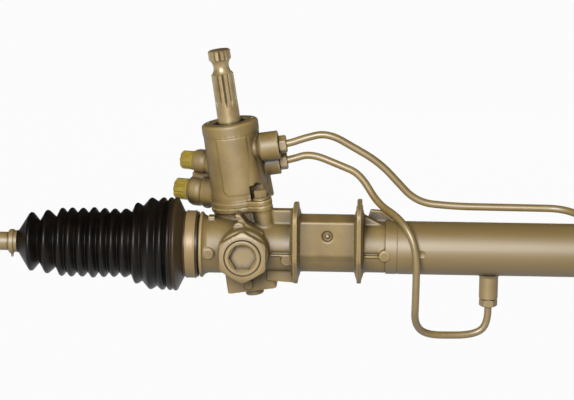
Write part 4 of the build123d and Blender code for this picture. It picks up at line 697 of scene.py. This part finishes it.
def round_corners(points, reach, steps=5):
    """Each inner corner P gives way to the curve (1-t)^2 A + 2t(1-t) P + t^2 B, where
    A and B lie on its two edges, reach mm away, or less on a short edge."""
    points = np.array(points, float)
    before = points[:-2] - points[1:-1]
    after = points[2:] - points[1:-1]
    reach = np.broadcast_to(reach, len(points))[1:-1, None]
    length_before = np.linalg.norm(before, axis=1, keepdims=True)
    length_after = np.linalg.norm(after, axis=1, keepdims=True)
    a = points[1:-1] + before / length_before * np.minimum(reach, 0.48 * length_before)
    b = points[1:-1] + after / length_after * np.minimum(reach, 0.48 * length_after)
    t = np.linspace(0, 1, steps)[None, :, None]
    curve = (1 - t) ** 2 * a[:, None] + 2 * t * (1 - t) * points[1:-1, None] + t ** 2 * b[:, None]
    return np.concatenate([points[:1], curve.reshape(-1, points.shape[1]), points[-1:]])


def boot_outline():
    """The bellows' outside, from the large cuff to the small one."""
    folds, reach = [], []
    for valley, (s, r) in zip(BOOT_VALLEYS, BOOT_CRESTS):
        folds += [valley, (s - CREST_HALF, r), (s + CREST_HALF, r)]
        reach += [0.8, 1.6, 1.6]
    points = BOOT_ENDS[0] + folds + BOOT_ENDS[1]
    return round_corners(points, [0.5, 0.5] + reach + [1.5, 0.5])


def make_boot(side):
    """One closed ring of rubber for each run of folds, each left where it stands,
    and then the small cuff, which rides on the tie rod."""
    outside = boot_outline()
    inside_s, inside_r = np.array(BOOT_LINING).T
    origin, way = (BALL_X[side], 0, 0), (OUTWARD[side], 0, 0)
    cuts = [outside[0, 0]] + [run[4] for run in BOOT_RUNS[:-1]] + [BOOT_CUFF[0]]
    for number, run in enumerate(BOOT_RUNS):
        start, end = cuts[number], cuts[number + 1]
        s = outside[(outside[:, 0] > start + 0.01) & (outside[:, 0] < end - 0.01), 0]
        s = np.concatenate([[start], s, [end]])
        outer = np.stack([s, np.interp(s, outside[:, 0], outside[:, 1])], axis=1)
        inner = np.stack([s, np.interp(s, inside_s, inside_r)], axis=1)[::-1]
        loop = np.concatenate([outer, inner])
        name = "boot_%s_%d" % (side, number + 1)
        mesh = turned(name, loop, origin, way, (0, 1, 0))
        piece = add_piece(name, mesh, BOOT_RUBBER, stands_for="boot_" + side)
        body_a, body_b, s_a, share_a, s_b, share_b = run
        body_a, body_b = body_a.format(side=side), body_b.format(side=side)
        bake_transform(piece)
    (near, far), r = BOOT_CUFF, BOOT_ENDS[1][0][1]
    cuff = [[near, CUFF_BORE], [near, r], [far - 0.8, r], [far - 0.2, r - 0.3], [far, r - 0.8],
            [far, CUFF_BORE]]
    mesh = turned("boot_cuff_" + side, cuff, origin, way, (0, 1, 0))
    add_piece("boot_cuff_" + side, mesh, TURNED_COAT, "tie_rod_" + side, "boot_" + side)


BOOTS_MIDDLE = (BALL_X["left"] + BALL_X["right"]) / 2
MIST_START, MIST_END = 243.0, 249.5       # from the middle: full, and none


def moulded_rubber(name):
    """Chloroprene rubber: near black, with a faint bloom of dust and a soft shine. The
    bronze spray has settled as a thin mist on the folds next to the large cuff."""
    material, tree = new_material(name)
    place = add(tree, "ShaderNodeTexCoord")
    bloom = add(tree, "ShaderNodeTexNoise", Vector=place.outputs["Object"], Scale=70.0, Detail=5.0)
    share = add(tree, "ShaderNodeMapRange", Value=bloom.outputs[0], From_Min=0.4, From_Max=0.8)
    tone = add(tree, "ShaderNodeMix", {"data_type": "RGBA"}, i0=share.outputs[0],
               i6=linear("#060403"), i7=linear("#150e08"))
    along = add(tree, "ShaderNodeSeparateXYZ", Vector=place.outputs["Object"])
    off = add(tree, "ShaderNodeMath", {"operation": "SUBTRACT"}, i0=along.outputs[0], i1=BOOTS_MIDDLE * MM)
    off = add(tree, "ShaderNodeMath", {"operation": "ABSOLUTE"}, i0=off.outputs[0])
    mist = add(tree, "ShaderNodeMapRange", Value=off.outputs[0], From_Min=MIST_END * MM,
               From_Max=MIST_START * MM, To_Max=0.8)
    tone = add(tree, "ShaderNodeMix", {"data_type": "RGBA"}, i0=mist.outputs[0],
               i6=tone.outputs[2], i7=linear("#3b2f1e"))
    skin = add(tree, "ShaderNodeTexNoise", Vector=place.outputs["Object"], Scale=900.0, Detail=2.0)
    bump = add(tree, "ShaderNodeBump", Strength=0.4, Distance=0.02 * MM, Height=skin.outputs[0])
    shader = add(tree, "ShaderNodeBsdfPrincipled", Base_Color=tone.outputs[2], Roughness=0.4,
                 Specular_IOR_Level=0.2, Normal=bump.outputs[0])
    add(tree, "ShaderNodeOutputMaterial", Surface=shader.outputs[0])
    return material


BOOT_RUBBER = moulded_rubber("moulded_chloroprene")
for side in BALL_X:
    make_boot(side)


# ---------------------------------------------------------------- boot clamps
# A crimped stainless band holds each large cuff; its pinched ear is turned to the
# back. A narrow clip of spring steel, sprayed over, grips the small cuff, ear down.
BAND_COAT = plain_finish("sprayed_stainless_band", "#87714f", "#766240", 0.46, 0.1, 0.5, 0.01)
BAND_OUTLINE = [[-98.0, 28.34], [-98.0, 29.1], [-97.7, 29.45], [-97.2, 29.5], [-96.8, 29.3], [-96.2, 29.2],
                [-91.2, 29.2], [-90.6, 29.3], [-90.2, 29.5], [-89.7, 29.45], [-89.4, 29.1], [-89.4, 28.34]]
CLIP_OUTLINE = [[61.6, 9.52], [61.6, 10.2], [61.9, 10.5], [64.9, 10.5], [65.2, 10.2], [65.2, 9.52]]
BAND_EAR, CLIP_EAR = (-96.6, -90.8), (62.2, 64.6)         # where each ear starts and ends


def eared(low, high, middle, half, rise, floor):
    """The radius grows by rise where the turn is less than the angle half away from the
    ear's middle, and between low and high along the axis. The ear's sides follow
    3 w^2 - 2 w^3; points inside the radius floor stay."""
    def radius(r, turn, s):
        away = np.abs((turn - middle + math.pi) % (2 * math.pi) - math.pi)
        wide = np.clip((half - away) / (0.25 * half), 0, 1)
        span = np.clip((s - low) / 0.4, 0, 1) * np.clip((high - s) / 0.4, 0, 1)
        eased = wide * wide * (3 - 2 * wide)
        return r + rise * eased * span * (r > floor)
    return radius


def with_rows(outline, low, high):
    """Extra outline points either side of the ear's two ends."""
    points = np.array(outline)
    top = (points[:, 1] > points[:, 1].min() + 0.5)
    middle = [[s, np.interp(s, points[top, 0], points[top, 1])]
              for s in (low - 0.05, low + 0.15, low + 0.4, high - 0.4, high - 0.15, high + 0.05)]
    rows = sorted(points[top].tolist() + middle)
    return [outline[0]] + rows + [outline[-1]]


for side in BALL_X:
    origin, way = (BALL_X[side], 0, 0), (OUTWARD[side], 0, 0)
    name = "boot_clamp_%s_band" % side
    mesh = turned(name, with_rows(BAND_OUTLINE, *BAND_EAR), origin, way, (0, 1, 0), 360,
                  eared(*BAND_EAR, middle=0.0, half=0.14, rise=2.6, floor=28.9))
    add_piece(name, mesh, BAND_COAT, "housing", "boot_clamp_" + side)
    name = "boot_clip_%s_band" % side
    mesh = turned(name, with_rows(CLIP_OUTLINE, *CLIP_EAR), origin, way, (0, 1, 0), 240,
                  eared(*CLIP_EAR, middle=-OUTWARD[side] * math.pi / 2, half=0.16, rise=3.2, floor=10.0))
    add_piece(name, mesh, TURNED_COAT, "tie_rod_" + side, "boot_clip_" + side)
